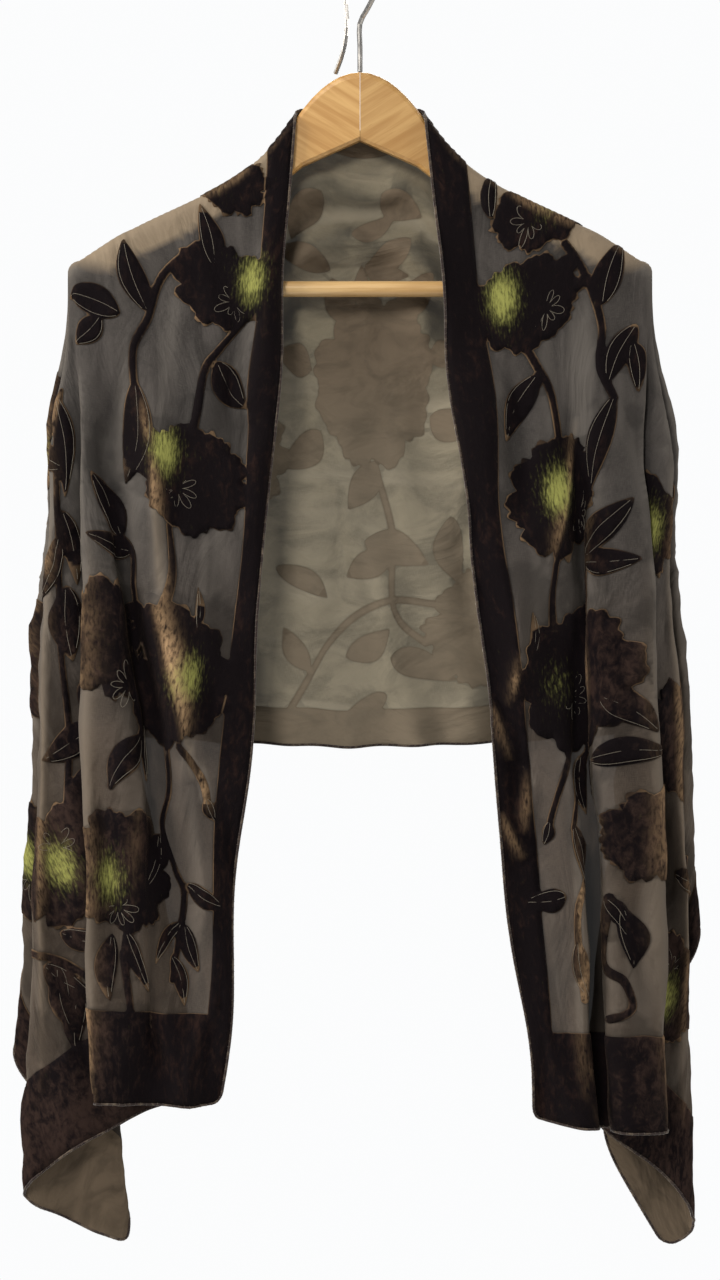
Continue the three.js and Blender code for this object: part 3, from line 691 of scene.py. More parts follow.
class StoleColours(bpy.types.PropertyGroup):
    """Colours of the cloth and the hanger."""

    shade: colour_property("Velvet shade", "Velvet that looks into its pile", (0.0042, 0.0024, 0.0032))
    nap: colour_property("Velvet nap", "Velvet whose pile lies over", (0.020, 0.010, 0.008))
    # Painted light: the nap of the lit outer folds.
    open_nap: colour_property("Open nap", "Nap on the outer folds", (0.034, 0.020, 0.016))
    # Rubbed pile and a painted sheen highlight on the folds.
    crest: colour_property("Velvet crest", "Rubbed pile on the folds", (0.480, 0.310, 0.170))
    dye: colour_property("Dye", "Painted heart of the flowers", (0.300, 0.305, 0.085))
    chiffon: colour_property("Sheer ground", "Burnt-out ground", (0.052, 0.045, 0.041))
    low_chiffon: colour_property("Sheer ends", "Burnt-out ground near the ends", (0.060, 0.043, 0.031))
    # Painted light: the back panel's ground, paler as if lit through from behind.
    backlit_ground: colour_property("Sheer back", "Burnt-out ground of the back panel", (0.210, 0.178, 0.115))
    under: colour_property("Wrong side", "Back of the velvet figure", (0.125, 0.093, 0.063))
    # Painted see-through glow of the wooden arm behind the sheer.
    arm_glow: colour_property(
        "Arm behind", "Sheer ground where the wooden arm shows through", (0.275, 0.210, 0.140)
    )
    thread: colour_property("Thread", "Sewn outlines and veins", (0.280, 0.245, 0.190))
    maple: colour_property("Maple", "Hanger arms", (0.680, 0.410, 0.150))
    bar: colour_property("Bar wood", "Trouser bar", (0.740, 0.500, 0.230))
    nickel: colour_property("Nickel", "Hook", (0.620, 0.600, 0.570))


def mix(low, high, share):
    """The value that lies that share of the way from low to high."""
    return low + (high - low) * share


def smooth(low, high, value):
    """A soft step from 0 at low to 1 at high."""
    share = np.clip((value - low) / (high - low), 0, 1)
    return share * share * (3 - 2 * share)


def bend_out(fall):
    """How far the cloth has left the arm's top, that length below it."""
    return BEND_RADIUS * np.sin(np.minimum(fall / BEND_RADIUS, QUARTER))


def bend_drop(fall):
    """How far the cloth has dropped, that length below the arm's top."""
    over = BEND_RADIUS * (1 - np.cos(np.minimum(fall / BEND_RADIUS, QUARTER)))
    return np.where(fall < BEND_RADIUS * QUARTER, over, fall - BEND_RADIUS * (QUARTER - 1))


def shoulder_drop(share):
    """Height lost along the arm, from the neck point to its tip."""
    return SHOULDER_DROP * share + SHOULDER_SCOOP * share * (1 - share) ** SCOOP_POWER


def neck_rise(along):
    """How far the back stands above the neck points."""
    return NECK_RISE * (1 - np.minimum(along / NECK_CLOTH, 1) ** RISE_POWER)


def carried_out(along):
    """Distance from the centre at which that place on the neck line or arm lies."""
    on_arm = mix(NECK_OUT, TIP_OUT, (along - NECK_CLOTH) / SHOULDER_RUN)
    return np.where(along <= NECK_CLOTH, NECK_OUT * along / NECK_CLOTH, on_arm)


def opened(fall):
    """How far the side folds have opened."""
    return smooth(CASCADE_START, CASCADE_OPEN, fall)


def spread(fall, curve):
    """Share of a fold's full reach at that fall."""
    share = np.maximum((fall - CASCADE_START) / (CASCADE_FALL - CASCADE_START), 0)
    return opened(fall) * share**curve


def ring(side, fall):
    """Guide places round the hanging cloth at one fall: where along the ring, out, deep and extra drop."""
    front = FRONTS[side]
    bend = bend_out(fall)
    share = fall / END_FALL
    deepen = spread(fall, DEEP_CURVE)
    same = 0 * fall
    rows = []
    for part in FRONT_LINES:
        across = part * SHOULDER_RUN
        hem_out = mix(front.edge_out, front.tip_out, part)
        out = mix(float(carried_out(NECK_CLOTH + across)), hem_out, share)
        deep = -bend - FRONT_LEAN * smooth(0, 1, share)
        rows.append((across + same, out, deep, mix(front.edge_extra, front.tip_extra, part) + same))
    folds = CASCADES[side]
    for number, fold in enumerate(folds, 1):
        even = 2 * number / (len(folds) + 1) - 1
        round_tip = mix(-np.cos(2 * np.radians(fold.turn)), even, opened(fall))
        at = SHOULDER_RUN + fall * np.radians(fold.turn)
        out = TIP_OUT + bend * np.sqrt(1 - round_tip**2) + (fold.out - TIP_OUT) * spread(fall, fold.curve)
        rows.append((at, out, bend * round_tip + fold.deep * deepen, fold.extra + same))
    settled = smooth(0, EDGE_FALL, fall)
    for part in BACK_LINES:
        along = part * TIP_ALONG
        near = part**2
        at = SHOULDER_RUN + fall * QUARTER + TIP_ALONG - along
        out = np.sign(along) * float(carried_out(abs(along))) + near * (BACK_TIP_OUT - TIP_OUT) * settled
        deep = bend + mix(BACK_CENTRE_DEEP * settled, BACK_TIP_DEEP * deepen, near)
        rows.append((at, out, deep, BACK_TIP_EXTRA + same))
    return [np.array(column) for column in zip(*rows)]


def through(columns, at, folded):
    """Each further column at those places on a smooth curve through its rows."""
    ats = columns[0]
    nearest = 1 + (ats[2:-2] < at).sum(axis=0)

    def four(column):
        return [np.take_along_axis(column, (nearest + step)[None], axis=0)[0] for step in (-1, 0, 1, 2)]

    place = four(ats)
    span = place[2] - place[1]
    part = (at - place[1]) / span

    def slope(values, here):
        return (values[here + 1] - values[here - 1]) / (place[here + 1] - place[here - 1])

    def curve(values, start, end):
        lead = (2 * part**3 - 3 * part**2 + 1) * values[1] + (part**3 - 2 * part**2 + part) * span * start
        return lead + (3 * part**2 - 2 * part**3) * values[2] + (part**3 - part**2) * span * end

    outs = four(columns[1])

    def rounded(values, here):
        rise = outs[here] - outs[here - 1]
        drop = outs[here] - outs[here + 1]
        turn = np.where(rise * drop > 0, np.minimum(abs(rise), abs(drop)), 0)
        nearer = np.minimum(place[here] - place[here - 1], place[here + 1] - place[here])
        return np.maximum(slope(values, here), np.sqrt(6 * FOLD_RADIUS * turn) / nearer)

    results = []
    for number, column in enumerate(columns[1:], 1):
        values = four(column)
        slant = rounded if folded and number == 2 else slope
        results.append(curve(values, slant(values, 1), slant(values, 2)))
    return results


def neck_fall(along):
    """Length of cloth between the neck line and the edge behind the neck."""
    inside = np.maximum(NECK_CLOTH - along, 0)
    return inside - (NECK_CLOTH - NECK_SAG) * inside**2 / NECK_CLOTH**2


def back_fall(along):
    """Length of the back from the arm or the neck line to its hem."""
    return STOLE_WIDTH - np.maximum(along - NECK_CLOTH, 0) + neck_fall(along)


def let_in(side, at, share):
    """Out and deep of the front's let-in fold."""
    front = FRONTS[side]
    grown = smooth(front.rise, front.full, share) * (1 - smooth(front.ease, front.flat, share))
    inside = smooth(0, FOLD_IN, at) * (1 - smooth(SHOULDER_RUN - FOLD_OFF, SHOULDER_RUN, at))
    table = np.array(LET_INS[side], float).T[:, :, None] + 0 * at
    out, deep = through(list(table), at - front.fold_at - front.fold_drift * share, False)
    return out * grown * inside, deep * grown * inside


def front_drop(at, fall, extra):
    """Height lost by the front at that place."""
    arm = np.clip(at / SHOULDER_RUN, 0, 1)
    scoop = shoulder_drop(arm) - SHOULDER_DROP * arm
    length = np.maximum(HALF_LENGTH - NECK_CLOTH - at, 1)
    eased = scoop * smooth(0, 1, fall / length)
    return shoulder_drop(arm) + bend_drop(fall) - eased + extra * fall / END_FALL


def back_drop(away, fall, in_cowl):
    """Height lost by the back at that place."""
    reach = np.clip((away - NECK_CLOTH) / SHOULDER_RUN, 0, 1)

    def plain(length):
        top = shoulder_drop(reach) - neck_rise(away)
        return top + bend_drop(length) + BACK_TIP_EXTRA * reach * length / END_FALL

    tip_hem = SHOULDER_DROP + bend_drop(np.float64(EDGE_FALL)) + BACK_TIP_EXTRA * EDGE_FALL / END_FALL
    hem = mix(BACK_CENTRE_HEM, tip_hem, (away / TIP_ALONG) ** 2)
    return plain(fall) - (plain(back_fall(away)) - hem) * in_cowl


def hang(side, at, fall):
    """Places of the hanging cloth on one side, in millimetres."""
    out, deep, extra = through(ring(side, fall), at, True)
    turned = at - SHOULDER_RUN
    on_front = turned <= 0
    on_side = ~on_front & (turned < fall * QUARTER)
    fold_out, fold_deep = let_in(side, at, fall / END_FALL)
    away = np.abs(TIP_ALONG - (turned - fall * QUARTER))
    in_cowl = np.clip((fall - COWL_FROM) / (COWL_TO - COWL_FROM), 0, 1)
    swing = COWL_SWING + COWL_DEPTH * np.sin(2 * np.pi * COWL_WAVES * in_cowl)
    cowl = (1 - smooth(COWL_FADE, 1, away / TIP_ALONG)) * np.sin(np.pi * in_cowl) * swing
    side_drop = SHOULDER_DROP + bend_drop(fall) + extra * fall / END_FALL
    drop = np.where(on_side, side_drop, back_drop(away, fall, in_cowl))
    drop = np.where(on_front, front_drop(at, fall, extra), drop)
    out = out + np.where(on_front, fold_out, 0)
    deep = deep + np.where(on_front, fold_deep, np.where(on_side, 0, cowl))
    return np.stack([SIDES[side] * out, deep, NECK_POINT_Z - drop], axis=-1)


def on_ring(along, across):
    """The place on the ring and the fall of places on the flat cloth."""
    away = np.abs(along)
    on_front = (across <= SHOULDER_RUN) & (away - NECK_CLOTH >= across)
    on_side = (away > TIP_ALONG) & (across > SHOULDER_RUN)
    radius = np.hypot(away - TIP_ALONG, across - SHOULDER_RUN)
    turn = np.arctan2(across - SHOULDER_RUN, away - TIP_ALONG)
    behind = across - np.maximum(away - NECK_CLOTH, 0) + neck_fall(away)
    fall = np.where(on_front, away - NECK_CLOTH - across, np.where(on_side, radius, behind))
    fall = np.maximum(fall, LEAST_FALL)
    side_at = SHOULDER_RUN + fall * np.clip(turn, TINY_TURN, QUARTER - TINY_TURN)
    back_at = SHOULDER_RUN + fall * QUARTER + TIP_ALONG - away
    return np.where(on_front, across, np.where(on_side, side_at, back_at)), fall


def plain_drape(along, across):
    """Places of the cloth before its waver and creases."""
    at, fall = on_ring(along, across)
    left = hang("left", at, fall)
    right = hang("right", at, fall)
    return np.where((along < 0)[:, None], left, right), fall


def normals_of(surface, along, across):
    """Outward normals of a surface that is a function of the flat place."""
    low = np.maximum(along - NORMAL_STEP, -HALF_LENGTH)
    high = np.minimum(along + NORMAL_STEP, HALF_LENGTH)
    near = np.maximum(across - NORMAL_STEP, 0)
    far = np.minimum(across + NORMAL_STEP, STOLE_WIDTH)
    run = surface(high, across) - surface(low, across)
    rise = surface(along, far) - surface(along, near)
    normal = np.cross(run, rise)
    return normal / np.maximum(np.linalg.norm(normal, axis=1), TINY_LENGTH)[:, None]


@cache
def waver_waves():
    """Fixed slow waves: how each runs, its phase and the way it pushes."""
    chance = np.random.default_rng(WAVER_SEED)
    lengths = [chance.uniform(*limits, WAVER_COUNT) for limits in (WAVER_LEVEL, WAVER_DEEP, WAVER_TALL)]
    signs = chance.choice((-1, 1), (3, WAVER_COUNT))
    runs = 2 * np.pi * signs / np.array(lengths)
    phases = chance.uniform(0, 2 * np.pi, WAVER_COUNT)
    pushes = chance.normal(0, 1, (WAVER_COUNT, 3)) * WAVER_PUSH
    return runs, phases, pushes / np.sqrt(WAVER_COUNT)


def waver(places, fall, size):
    """The slow stray of hanging cloth, none where the arms carry it."""
    runs, phases, pushes = waver_waves()
    swing = np.sin(places @ runs + phases) @ pushes
    return swing * (size * smooth(WAVER_FROM, WAVER_FULL, fall))[:, None]


def crease_shares(along, across, narrow):
    """Each crease with the share of its height there, narrower by that much inside and outside it."""
    for crease in CREASES:
        start = np.array([crease.side * crease.along, crease.across])
        run = np.array([crease.side * crease.to_along, crease.to_across]) - start
        length = np.hypot(*run)
        run = run / length
        ahead = (along - start[0]) * run[0] + (across - start[1]) * run[1]
        aside = (along - start[0]) * run[1] - (across - start[1]) * run[0]
        grown = np.sin(np.pi * np.clip(ahead / length, 0, 1)) ** CREASE_ENDS
        width = crease.width * np.where(crease.side * aside < 0, *narrow)
        yield crease, grown * np.exp(-((aside / width) ** 2))


def creased(along, across):
    """Height of the listed creases."""
    return sum(crease.height * share for crease, share in crease_shares(along, across, (1, 1)))


def rubbed(along, across):
    """How far the pile is rubbed, with a painted sheen highlight, on the listed ridges, from 0 to 1."""
    rub = np.zeros(len(along))
    for crease, share in crease_shares(along, across, RUB_SHEEN_NARROW):
        sharp = crease.height * (crease.width < RUB_SHEEN_WIDEST)
        rub = np.maximum(rub, share * smooth(*RUB_SHEEN_HEIGHT, sharp))
    return rub


def crease_points():
    """Points along the listed creases, so that their ridges stay even."""
    points = []
    for crease in CREASES:
        start = np.array([crease.side * crease.along, crease.across], float)
        end = np.array([crease.side * crease.to_along, crease.to_across], float)
        run = (end - start) / np.hypot(*(end - start))
        aside = np.array([run[1], -run[0]])
        for part in steps(0, 1, CREASE_STEP / np.hypot(*(end - start))):
            points.extend(mix(start, end, part) + aside * gap * crease.width for gap in CREASE_ROWS)
    return np.array(points)


@cache
def crinkle_waves():
    """Fixed short waves on the flat cloth: how each runs, and its phase."""
    chance = np.random.default_rng(CRINKLE_SEED)
    lengths = chance.uniform(*CRINKLE_LENGTH, CRINKLE_COUNT)
    turns = chance.uniform(0, np.pi, CRINKLE_COUNT)
    runs = np.stack([np.cos(turns) * CRINKLE_ALONG, np.sin(turns)]) * 2 * np.pi / lengths
    return runs, chance.uniform(0, 2 * np.pi, CRINKLE_COUNT)


def crinkled(along, across):
    """Height of the short crinkles, sharper on their crests than in their hollows."""
    runs, phases = crinkle_waves()
    swing = np.sin(np.stack([along, across], axis=1) @ runs + phases)
    return (1 - np.abs(swing)).sum(axis=1) - CRINKLE_COUNT * (1 - 2 / np.pi)


def folded_drape(along, across, crinkle):
    """Places of the cloth with its listed creases and crinkles of that size, and its fall."""
    places, fall = plain_drape(along, across)
    normal = normals_of(lambda *flat: plain_drape(*flat)[0], along, across)
    loose = crinkle * smooth(CRINKLE_FROM, WAVER_FULL, fall)
    height = creased(along, across) + crinkled(along, across) * loose
    return places + normal * height[:, None], fall


def drape(along, across):
    """Places of the finished cloth, in millimetres."""
    sizes = bpy.context.scene.stole_sizes
    places, fall = folded_drape(along, across, sizes.crinkle / MM)
    return places + waver(places, fall, sizes.waver / MM)


def raised(along, across, lift):
    """Places that far above the cloth's right side."""
    return drape(along, across) + normals_of(drape, along, across) * lift


def swings(table, turn, seed):
    """The sum of uneven swings at each turn."""
    return sum(swing.size * np.sin(swing.count * turn + swing.lag * seed) for swing in table)


def flower_depth(along, across, flower, seed):
    """How far inside the flower each place lies."""
    over = (across - flower.across) * flower.stretch
    down = (along - flower.along) / flower.stretch
    turn = np.arctan2(over, down) + np.radians(flower.turn)
    lobe = np.abs(np.cos(PETALS * turn / 2 + PETAL_SWAY * np.sin(turn + seed))) ** PETAL_POINT
    edge = flower.radius * (1 - PETAL_DEPTH + PETAL_DEPTH * lobe)
    edge = edge + TOOTH_DEPTH * np.abs(np.sin(TEETH * turn / 2))
    edge = edge + RAGGED_DEPTH * swings(RAGGED, turn, seed)
    return edge - np.hypot(over, down)


def leaf_bow(leaf, ahead):
    """How far the leaf's midline strays aside."""
    way = np.sign(np.sin(BOW_CHANGE * leaf.along + leaf.across))
    return way * LEAF_BOW * leaf.length * np.sin(np.pi * np.clip(ahead / leaf.length, 0, 1))


def leaf_places(leaf, ahead, aside):
    """Flat places that far ahead of and aside from a leaf's stalk."""
    heading = np.radians(leaf.heading)
    aside = aside + leaf_bow(leaf, ahead)
    along = leaf.along + ahead * np.cos(heading) - aside * np.sin(heading)
    return along, leaf.across + ahead * np.sin(heading) + aside * np.cos(heading)


def leaf_half(leaf, share):
    """Half the leaf's width at that share of its length."""
    inside = np.clip(share, 0, 1)
    return leaf.width / 2 * np.sin(np.pi * inside**LEAF_SHOULDER) ** LEAF_POINT


def leaf_depth(along, across, leaf):
    """How far inside the leaf each place lies."""
    heading = np.radians(leaf.heading)
    ahead = (along - leaf.along) * np.cos(heading) + (across - leaf.across) * np.sin(heading)
    aside = (across - leaf.across) * np.cos(heading) - (along - leaf.along) * np.sin(heading)
    aside = aside - leaf_bow(leaf, ahead)
    share = ahead / leaf.length
    past = np.maximum(np.maximum(-ahead, ahead - leaf.length), 0)
    return leaf_half(leaf, share) - np.abs(aside) - past


def stem_line(points):
    """A smooth line through a stem's points."""
    ends = [np.array(point, float) for point in (points[0], *points, points[-1])]
    line = []
    for before, start, end, after in zip(ends, ends[1:], ends[2:], ends[3:]):
        for step in range(STEM_STEPS):
            part = step / STEM_STEPS
            bow = (end - before) * part + (2 * before - 5 * start + 4 * end - after) * part**2
            line.append(start + (bow + (3 * start - before - 3 * end + after) * part**3) / 2)
    return np.array(line + [ends[-1]])


def stem_depth(along, across, line):
    """How far inside the stem each place lies."""
    nearest = np.full(along.shape, np.inf)
    for start, end in zip(line, line[1:]):
        run = end - start
        share = ((along - start[0]) * run[0] + (across - start[1]) * run[1]) / (run @ run)
        share = np.clip(share, 0, 1)
        gap = np.hypot(along - start[0] - share * run[0], across - start[1] - share * run[1])
        nearest = np.minimum(nearest, gap)
    return STEM_HALF - nearest


def neck_border(along):
    """Width of the border along the neck edge."""
    share = smooth(BORDER_FROM, BORDER_TO, np.abs(along))
    left, right = (mix(border.top, border.hem, share) for border in BORDERS.values())
    return mix(left, right, smooth(-BORDER_FROM / 2, BORDER_FROM / 2, along))


@cache
def figure():
    """The figure on the flat cloth as a raster: depth inside it, and strength of the dye."""
    alongs = np.linspace(-HALF_LENGTH, HALF_LENGTH, STOLE_LENGTH // RASTER + 1)
    acrosses = np.linspace(0, STOLE_WIDTH, STOLE_WIDTH // RASTER + 1)
    along, across = np.meshgrid(alongs, acrosses, indexing="ij")
    depth = np.maximum(OUTER_BORDER - (STOLE_WIDTH - across), END_BORDER - (HALF_LENGTH - np.abs(along)))
    depth = np.maximum(depth, neck_border(along) - across)
    dye = np.zeros(depth.shape)

    def add(side, middle, reach, inside):
        near = (np.abs(side * alongs - middle[0]) < reach, np.abs(acrosses - middle[1]) < reach)
        window = np.ix_(*near)
        depth[window] = np.maximum(depth[window], inside(side * along[window], across[window]))

    for side_name, side in SIDES.items():
        for seed, flower in enumerate(FLOWERS[side_name]):
            reach = FLOWER_ROOM * flower.radius
            add(side, flower[:2], reach, lambda *at: flower_depth(*at, flower, seed + side))
            down = side * along - flower.along - flower.dye_along
            over = across - flower.across - flower.dye_across
            away = (DYE_DOWN * down**2 + DYE_OVER * over**2) / DYE_REACH**2
            dye = np.maximum(dye, flower.dye * np.exp(-away))
        for leaf in LEAVES[side_name]:
            add(side, leaf[:2], LEAF_ROOM * leaf.length, lambda *at: leaf_depth(*at, leaf))
    for stem in STEMS:
        line = stem_line(stem.points)
        middle = (line.max(axis=0) + line.min(axis=0)) / 2
        reach = np.ptp(line, axis=0).max() / 2 + STEM_ROOM * STEM_HALF
        add(stem.side, middle, reach, lambda *at: stem_depth(*at, line))
    return depth, dye


def sampled(raster, along, across):
    """A raster's value at any place, straight between its points."""
    down = np.clip((along + HALF_LENGTH) / RASTER, 0, raster.shape[0] - LAST_CELL)
    over = np.clip(across / RASTER, 0, raster.shape[1] - LAST_CELL)
    row = down.astype(int)
    column = over.astype(int)
    down = down - row
    over = over - column
    low = mix(raster[row, column], raster[row + 1, column], down)
    return mix(low, mix(raster[row, column + 1], raster[row + 1, column + 1], down), over)


def figure_edge():
    """Points of the figure's edge on the flat cloth, and which of them are joined."""
    depth = figure()[0]
    inside = depth > 0
    numbers = {}
    points = []
    ways = {"down": (1, 0), "over": (0, 1)}
    for way, (down, over) in ways.items():
        first = depth[: depth.shape[0] - down, : depth.shape[1] - over]
        second = depth[down:, over:]
        rows, columns = np.nonzero((first > 0) != (second > 0))
        here = first[rows, columns]
        share = np.clip(here / (here - second[rows, columns]), *CUT_LIMITS)
        number = np.full(depth.shape, -1)
        number[rows, columns] = len(points) + np.arange(len(rows))
        numbers[way] = number
        along = (rows + down * share) * RASTER - HALF_LENGTH
        points.extend(zip(along, (columns + over * share) * RASTER))
    pattern = inside[:-1, :-1] + 2 * inside[1:, :-1] + 4 * inside[1:, 1:] + 8 * inside[:-1, 1:]
    sides = {
        "low": numbers["down"][:-1, :-1],
        "high": numbers["down"][:-1, 1:],
        "left": numbers["over"][:-1, :-1],
        "right": numbers["over"][1:, :-1],
    }
    joins = []
    for code, cuts in CELL_CUTS.items():
        cells = pattern == code
        for start, end in cuts:
            joins.extend(zip(sides[start][cells].tolist(), sides[end][cells].tolist()))
    return points, joins


def steps(low, high, size):
    """Even places between low and high, about that size apart."""
    return np.linspace(low, high, max(int(round((high - low) / size)), 1) + 1)


def rim_line(size):
    """The cloth's own edge, once round, with rounded corners."""
    far = HALF_LENGTH - CORNER
    wide = STOLE_WIDTH - CORNER
    centres = [(far, CORNER), (far, wide), (-far, wide), (-far, CORNER)]
    corners = []
    for number, centre in enumerate(centres):
        turn = QUARTER * (number - 1 + np.linspace(0, 1, CORNER_STEPS + 1))
        corners.append(centre + CORNER * np.stack([np.cos(turn), np.sin(turn)], axis=1))
    line = []
    for corner, after in zip(corners, corners[1:] + corners[:1]):
        line.extend(corner)
        gap = np.abs(after[0] - corner[-1]).max()
        line.extend(mix(corner[-1], after[0], part) for part in steps(0, 1, size / gap)[1:-1])
    return np.array(line)


def inside_rim(points):
    """The points that lie well inside the cloth's edge and its rounded corners."""
    past = np.abs(points) - (HALF_LENGTH - CORNER, 0)
    past[:, 1] = np.abs(points[:, 1] - STOLE_WIDTH / 2) - (STOLE_WIDTH / 2 - CORNER)
    return points[np.hypot(*np.maximum(past, 0).T) < CORNER - FINE / 2]


def side_points(side):
    """Points of the side folds, closer where the cloth turns."""
    turns = [0, *(np.radians(fold.turn) for fold in CASCADES[side]), QUARTER]
    points = []
    for radius in [*BEND_ROWS, *np.arange(SIDE_FROM, np.hypot(END_FALL, EDGE_FALL), GRID)]:
        for low, high in zip(turns, turns[1:]):
            count = int(np.clip(round(radius * (high - low) / GRID), 1, SIDE_MOST))
            shares = (1 - np.cos(np.pi * np.arange(count) / count)) / 2
            turn = mix(low, high, mix(shares, np.arange(count) / count, SIDE_EVEN))
            points.extend(zip(TIP_ALONG + radius * np.cos(turn), SHOULDER_RUN + radius * np.sin(turn)))
    return np.array(points)


def bend_points():
    """Points where the cloth turns over the arms."""
    away = steps(NECK_CLOTH, TIP_ALONG, FINE)
    rows = [row for size in BEND_ROWS for row in (size, -size)]
    return np.concatenate([np.stack([away, away - NECK_CLOTH + row], axis=1) for row in [0, *rows]])


def cloth_points():
    """All points of the flat cloth apart from the figure's edge and the rim."""
    away, across = np.meshgrid(steps(0, HALF_LENGTH, GRID), steps(0, STOLE_WIDTH, GRID))
    plain = np.stack([away.ravel(), across.ravel()], axis=1)
    on_side = (plain[:, 0] > TIP_ALONG) & (plain[:, 1] > SHOULDER_RUN)
    fall = on_ring(plain[:, 0], plain[:, 1])[1]
    on_bend = (fall < BEND_ROWS[-1] + GRID / 2) & (plain[:, 0] > NECK_CLOTH - GRID)
    plain = plain[~on_side & ~on_bend]
    halves = []
    for side, mirror in SIDES.items():
        half = np.concatenate([plain[plain[:, 0] > 0], bend_points(), side_points(side)])
        halves.append(half * (mirror, 1))
    points = np.concatenate([plain[plain[:, 0] == 0], *halves])
    near = sum(np.abs(share) for _, share in crease_shares(*points.T, (1, 1)))
    middles = [stem_line(stem.points) * (stem.side, 1) for stem in STEMS]
    points = np.concatenate([points[near < NEAR_CREASE], crease_points(), *middles])
    points = inside_rim(points)
    return points[np.abs(sampled(figure()[0], points[:, 0], points[:, 1])) > KEEP_OFF]


@cache
def cut_cloth():
    """The cloth as triangles that follow the figure's edge, draped, in metres."""
    edge, joins = figure_edge()
    rim = rim_line(FINE)
    points = [*edge, *rim.tolist(), *cloth_points().tolist()]
    vectors = [Vector(point) for point in points]
    found = delaunay_2d_cdt(vectors, joins, [], 0, CUT_GAP)
    flat = np.array([tuple(vector) for vector in found[0]])
    triangles = np.array(found[2])
    corner = flat[triangles]
    first = corner[:, 1] - corner[:, 0]
    second = corner[:, 2] - corner[:, 0]
    area = first[:, 0] * second[:, 1] - first[:, 1] * second[:, 0]
    triangles[area < 0] = triangles[area < 0][:, ::-1]
    triangles = triangles[np.abs(area) > THIN_TRIANGLE]
    middle = flat[triangles].mean(axis=1)
    piled = sampled(figure()[0], middle[:, 0], middle[:, 1]) > 0
    places = drape(flat[:, 0], flat[:, 1]) * MM
    return Cut(flat, places, vertex_normals(places, triangles), triangles, piled)


def vertex_normals(places, triangles):
    """Normals at the points of a mesh of triangles."""
    corner = places[triangles]
    facing = np.cross(corner[:, 1] - corner[:, 0], corner[:, 2] - corner[:, 0])
    normals = np.zeros(places.shape)
    for column in range(3):
        np.add.at(normals, triangles[:, column], facing)
    return normals / np.maximum(np.linalg.norm(normals, axis=1), TINY_AREA)[:, None]


def sides_of(triangles):
    """The two points of each side of each triangle."""
    return np.concatenate([triangles[:, [0, 1]], triangles[:, [1, 2]], triangles[:, [2, 0]]])


@cache
def crests():
    """How sharply the folds turn at each point: above 0 on a ridge, below 0 in a trough."""
    cut = cut_cloth()
    places = folded_drape(*cut.flat.T, 0)[0] * MM
    normals = vertex_normals(places, cut.triangles)
    pairs = sides_of(cut.triangles)
    pairs = np.concatenate([pairs, pairs[:, ::-1]])
    run = places[pairs[:, 1]] - places[pairs[:, 0]]
    rise = -2 * (run * normals[pairs[:, 0]]).sum(axis=1)
    number = len(places)

    def at_points(values):
        return np.bincount(pairs[:, 0], values, number)

    turn = at_points(rise) / at_points((run**2).sum(axis=1))
    count = np.bincount(pairs[:, 0], minlength=number)
    for _ in range(CREST_SMOOTH):
        turn = (turn + at_points(turn[pairs[:, 1]]) / count) / 2
    return np.clip(turn / CREST_FULL, -CREST_MOST, CREST_MOST)


def shade_of(cut):
    """How far other cloth closes the near view at each point, for painted shade, and how far figure lies
    close behind it, for a painted see-through.
    """
    tree = BVHTree.FromPolygons(cut.places.tolist(), cut.triangles.tolist())
    number = np.arange(SHADE_RAYS) + 0.5
    lift = np.sqrt(1 - number / SHADE_RAYS)
    turn = number * np.pi * (3 - np.sqrt(5))
    round_up = np.stack([np.cos(turn), np.sin(turn), 0 * turn], axis=1)
    shade = np.zeros(len(cut.places))
    ghost = np.zeros(len(cut.places))
    for here, (place, normal) in enumerate(zip(cut.places, cut.normals)):
        aside = np.cross(normal, SHADE_ASIDE)
        aside = aside / np.linalg.norm(aside)
        frame_of = np.stack([aside, np.cross(normal, aside), normal])
        rays = (round_up * np.sqrt(1 - lift**2)[:, None] + (0, 0, 1) * lift[:, None]) @ frame_of
        start = Vector(place + normal * SHADE_START)
        closed = [tree.ray_cast(start, Vector(ray), SHADE_REACH)[0] is not None for ray in rays]
        shade[here] = np.mean(closed)
        behind = tree.ray_cast(Vector(place - normal * SHADE_START), Vector(-normal), GHOST_REACH)[2]
        ghost[here] = behind is not None and cut.piled[behind]
    return shade, ghost


@cache
def shades():
    """The painted shade and the painted see-through of what lies behind, at each point of the cut cloth."""
    return shade_of(cut_cloth())


def add_piece(name, places, faces, materials, which=None):
    """A mesh piece at the origin, smooth, with its materials."""
    mesh = bpy.data.meshes.new(name)
    mesh.from_pydata(places.tolist(), [], faces)
    for material in materials:
        mesh.materials.append(material)
    if which is not None:
        mesh.polygons.foreach_set("material_index", which.astype(np.int32))
    mesh.shade_smooth()
    mesh.update()
    piece = bpy.data.objects.new(name, mesh)
    bpy.context.scene.collection.objects.link(piece)
    return piece


def add_flat_map(piece, flat):
    """A UV map that holds each point's place on the flat cloth, in metres."""
    corners = np.zeros(len(piece.data.loops), np.int32)
    piece.data.loops.foreach_get("vertex_index", corners)
    layer = piece.data.uv_layers.new(name=FLAT_MAP)
    layer.data.foreach_set("uv", (flat[corners] * MM).astype(np.float32).ravel())


def add_values(piece, **values):
    """Values at each point that a material reads."""
    for name, value in values.items():
        attribute = piece.data.attributes.new(name, "FLOAT", "POINT")
        attribute.data.foreach_set("value", value.astype(np.float32))


def arm_behind(along, across):
    """How far the wooden arm lies close behind each place, for its painted see-through glow on the sheer.
    """
    fall = on_ring(along, across)[1]
    away = np.abs(along)
    past_neck = smooth(0, ARM_EASE[0], away - NECK_CLOTH)
    past_tip = smooth(0, ARM_EASE[1], away - TIP_ALONG)
    return past_neck * (1 - past_tip) * (1 - smooth(*ARM_SHOWS, fall))


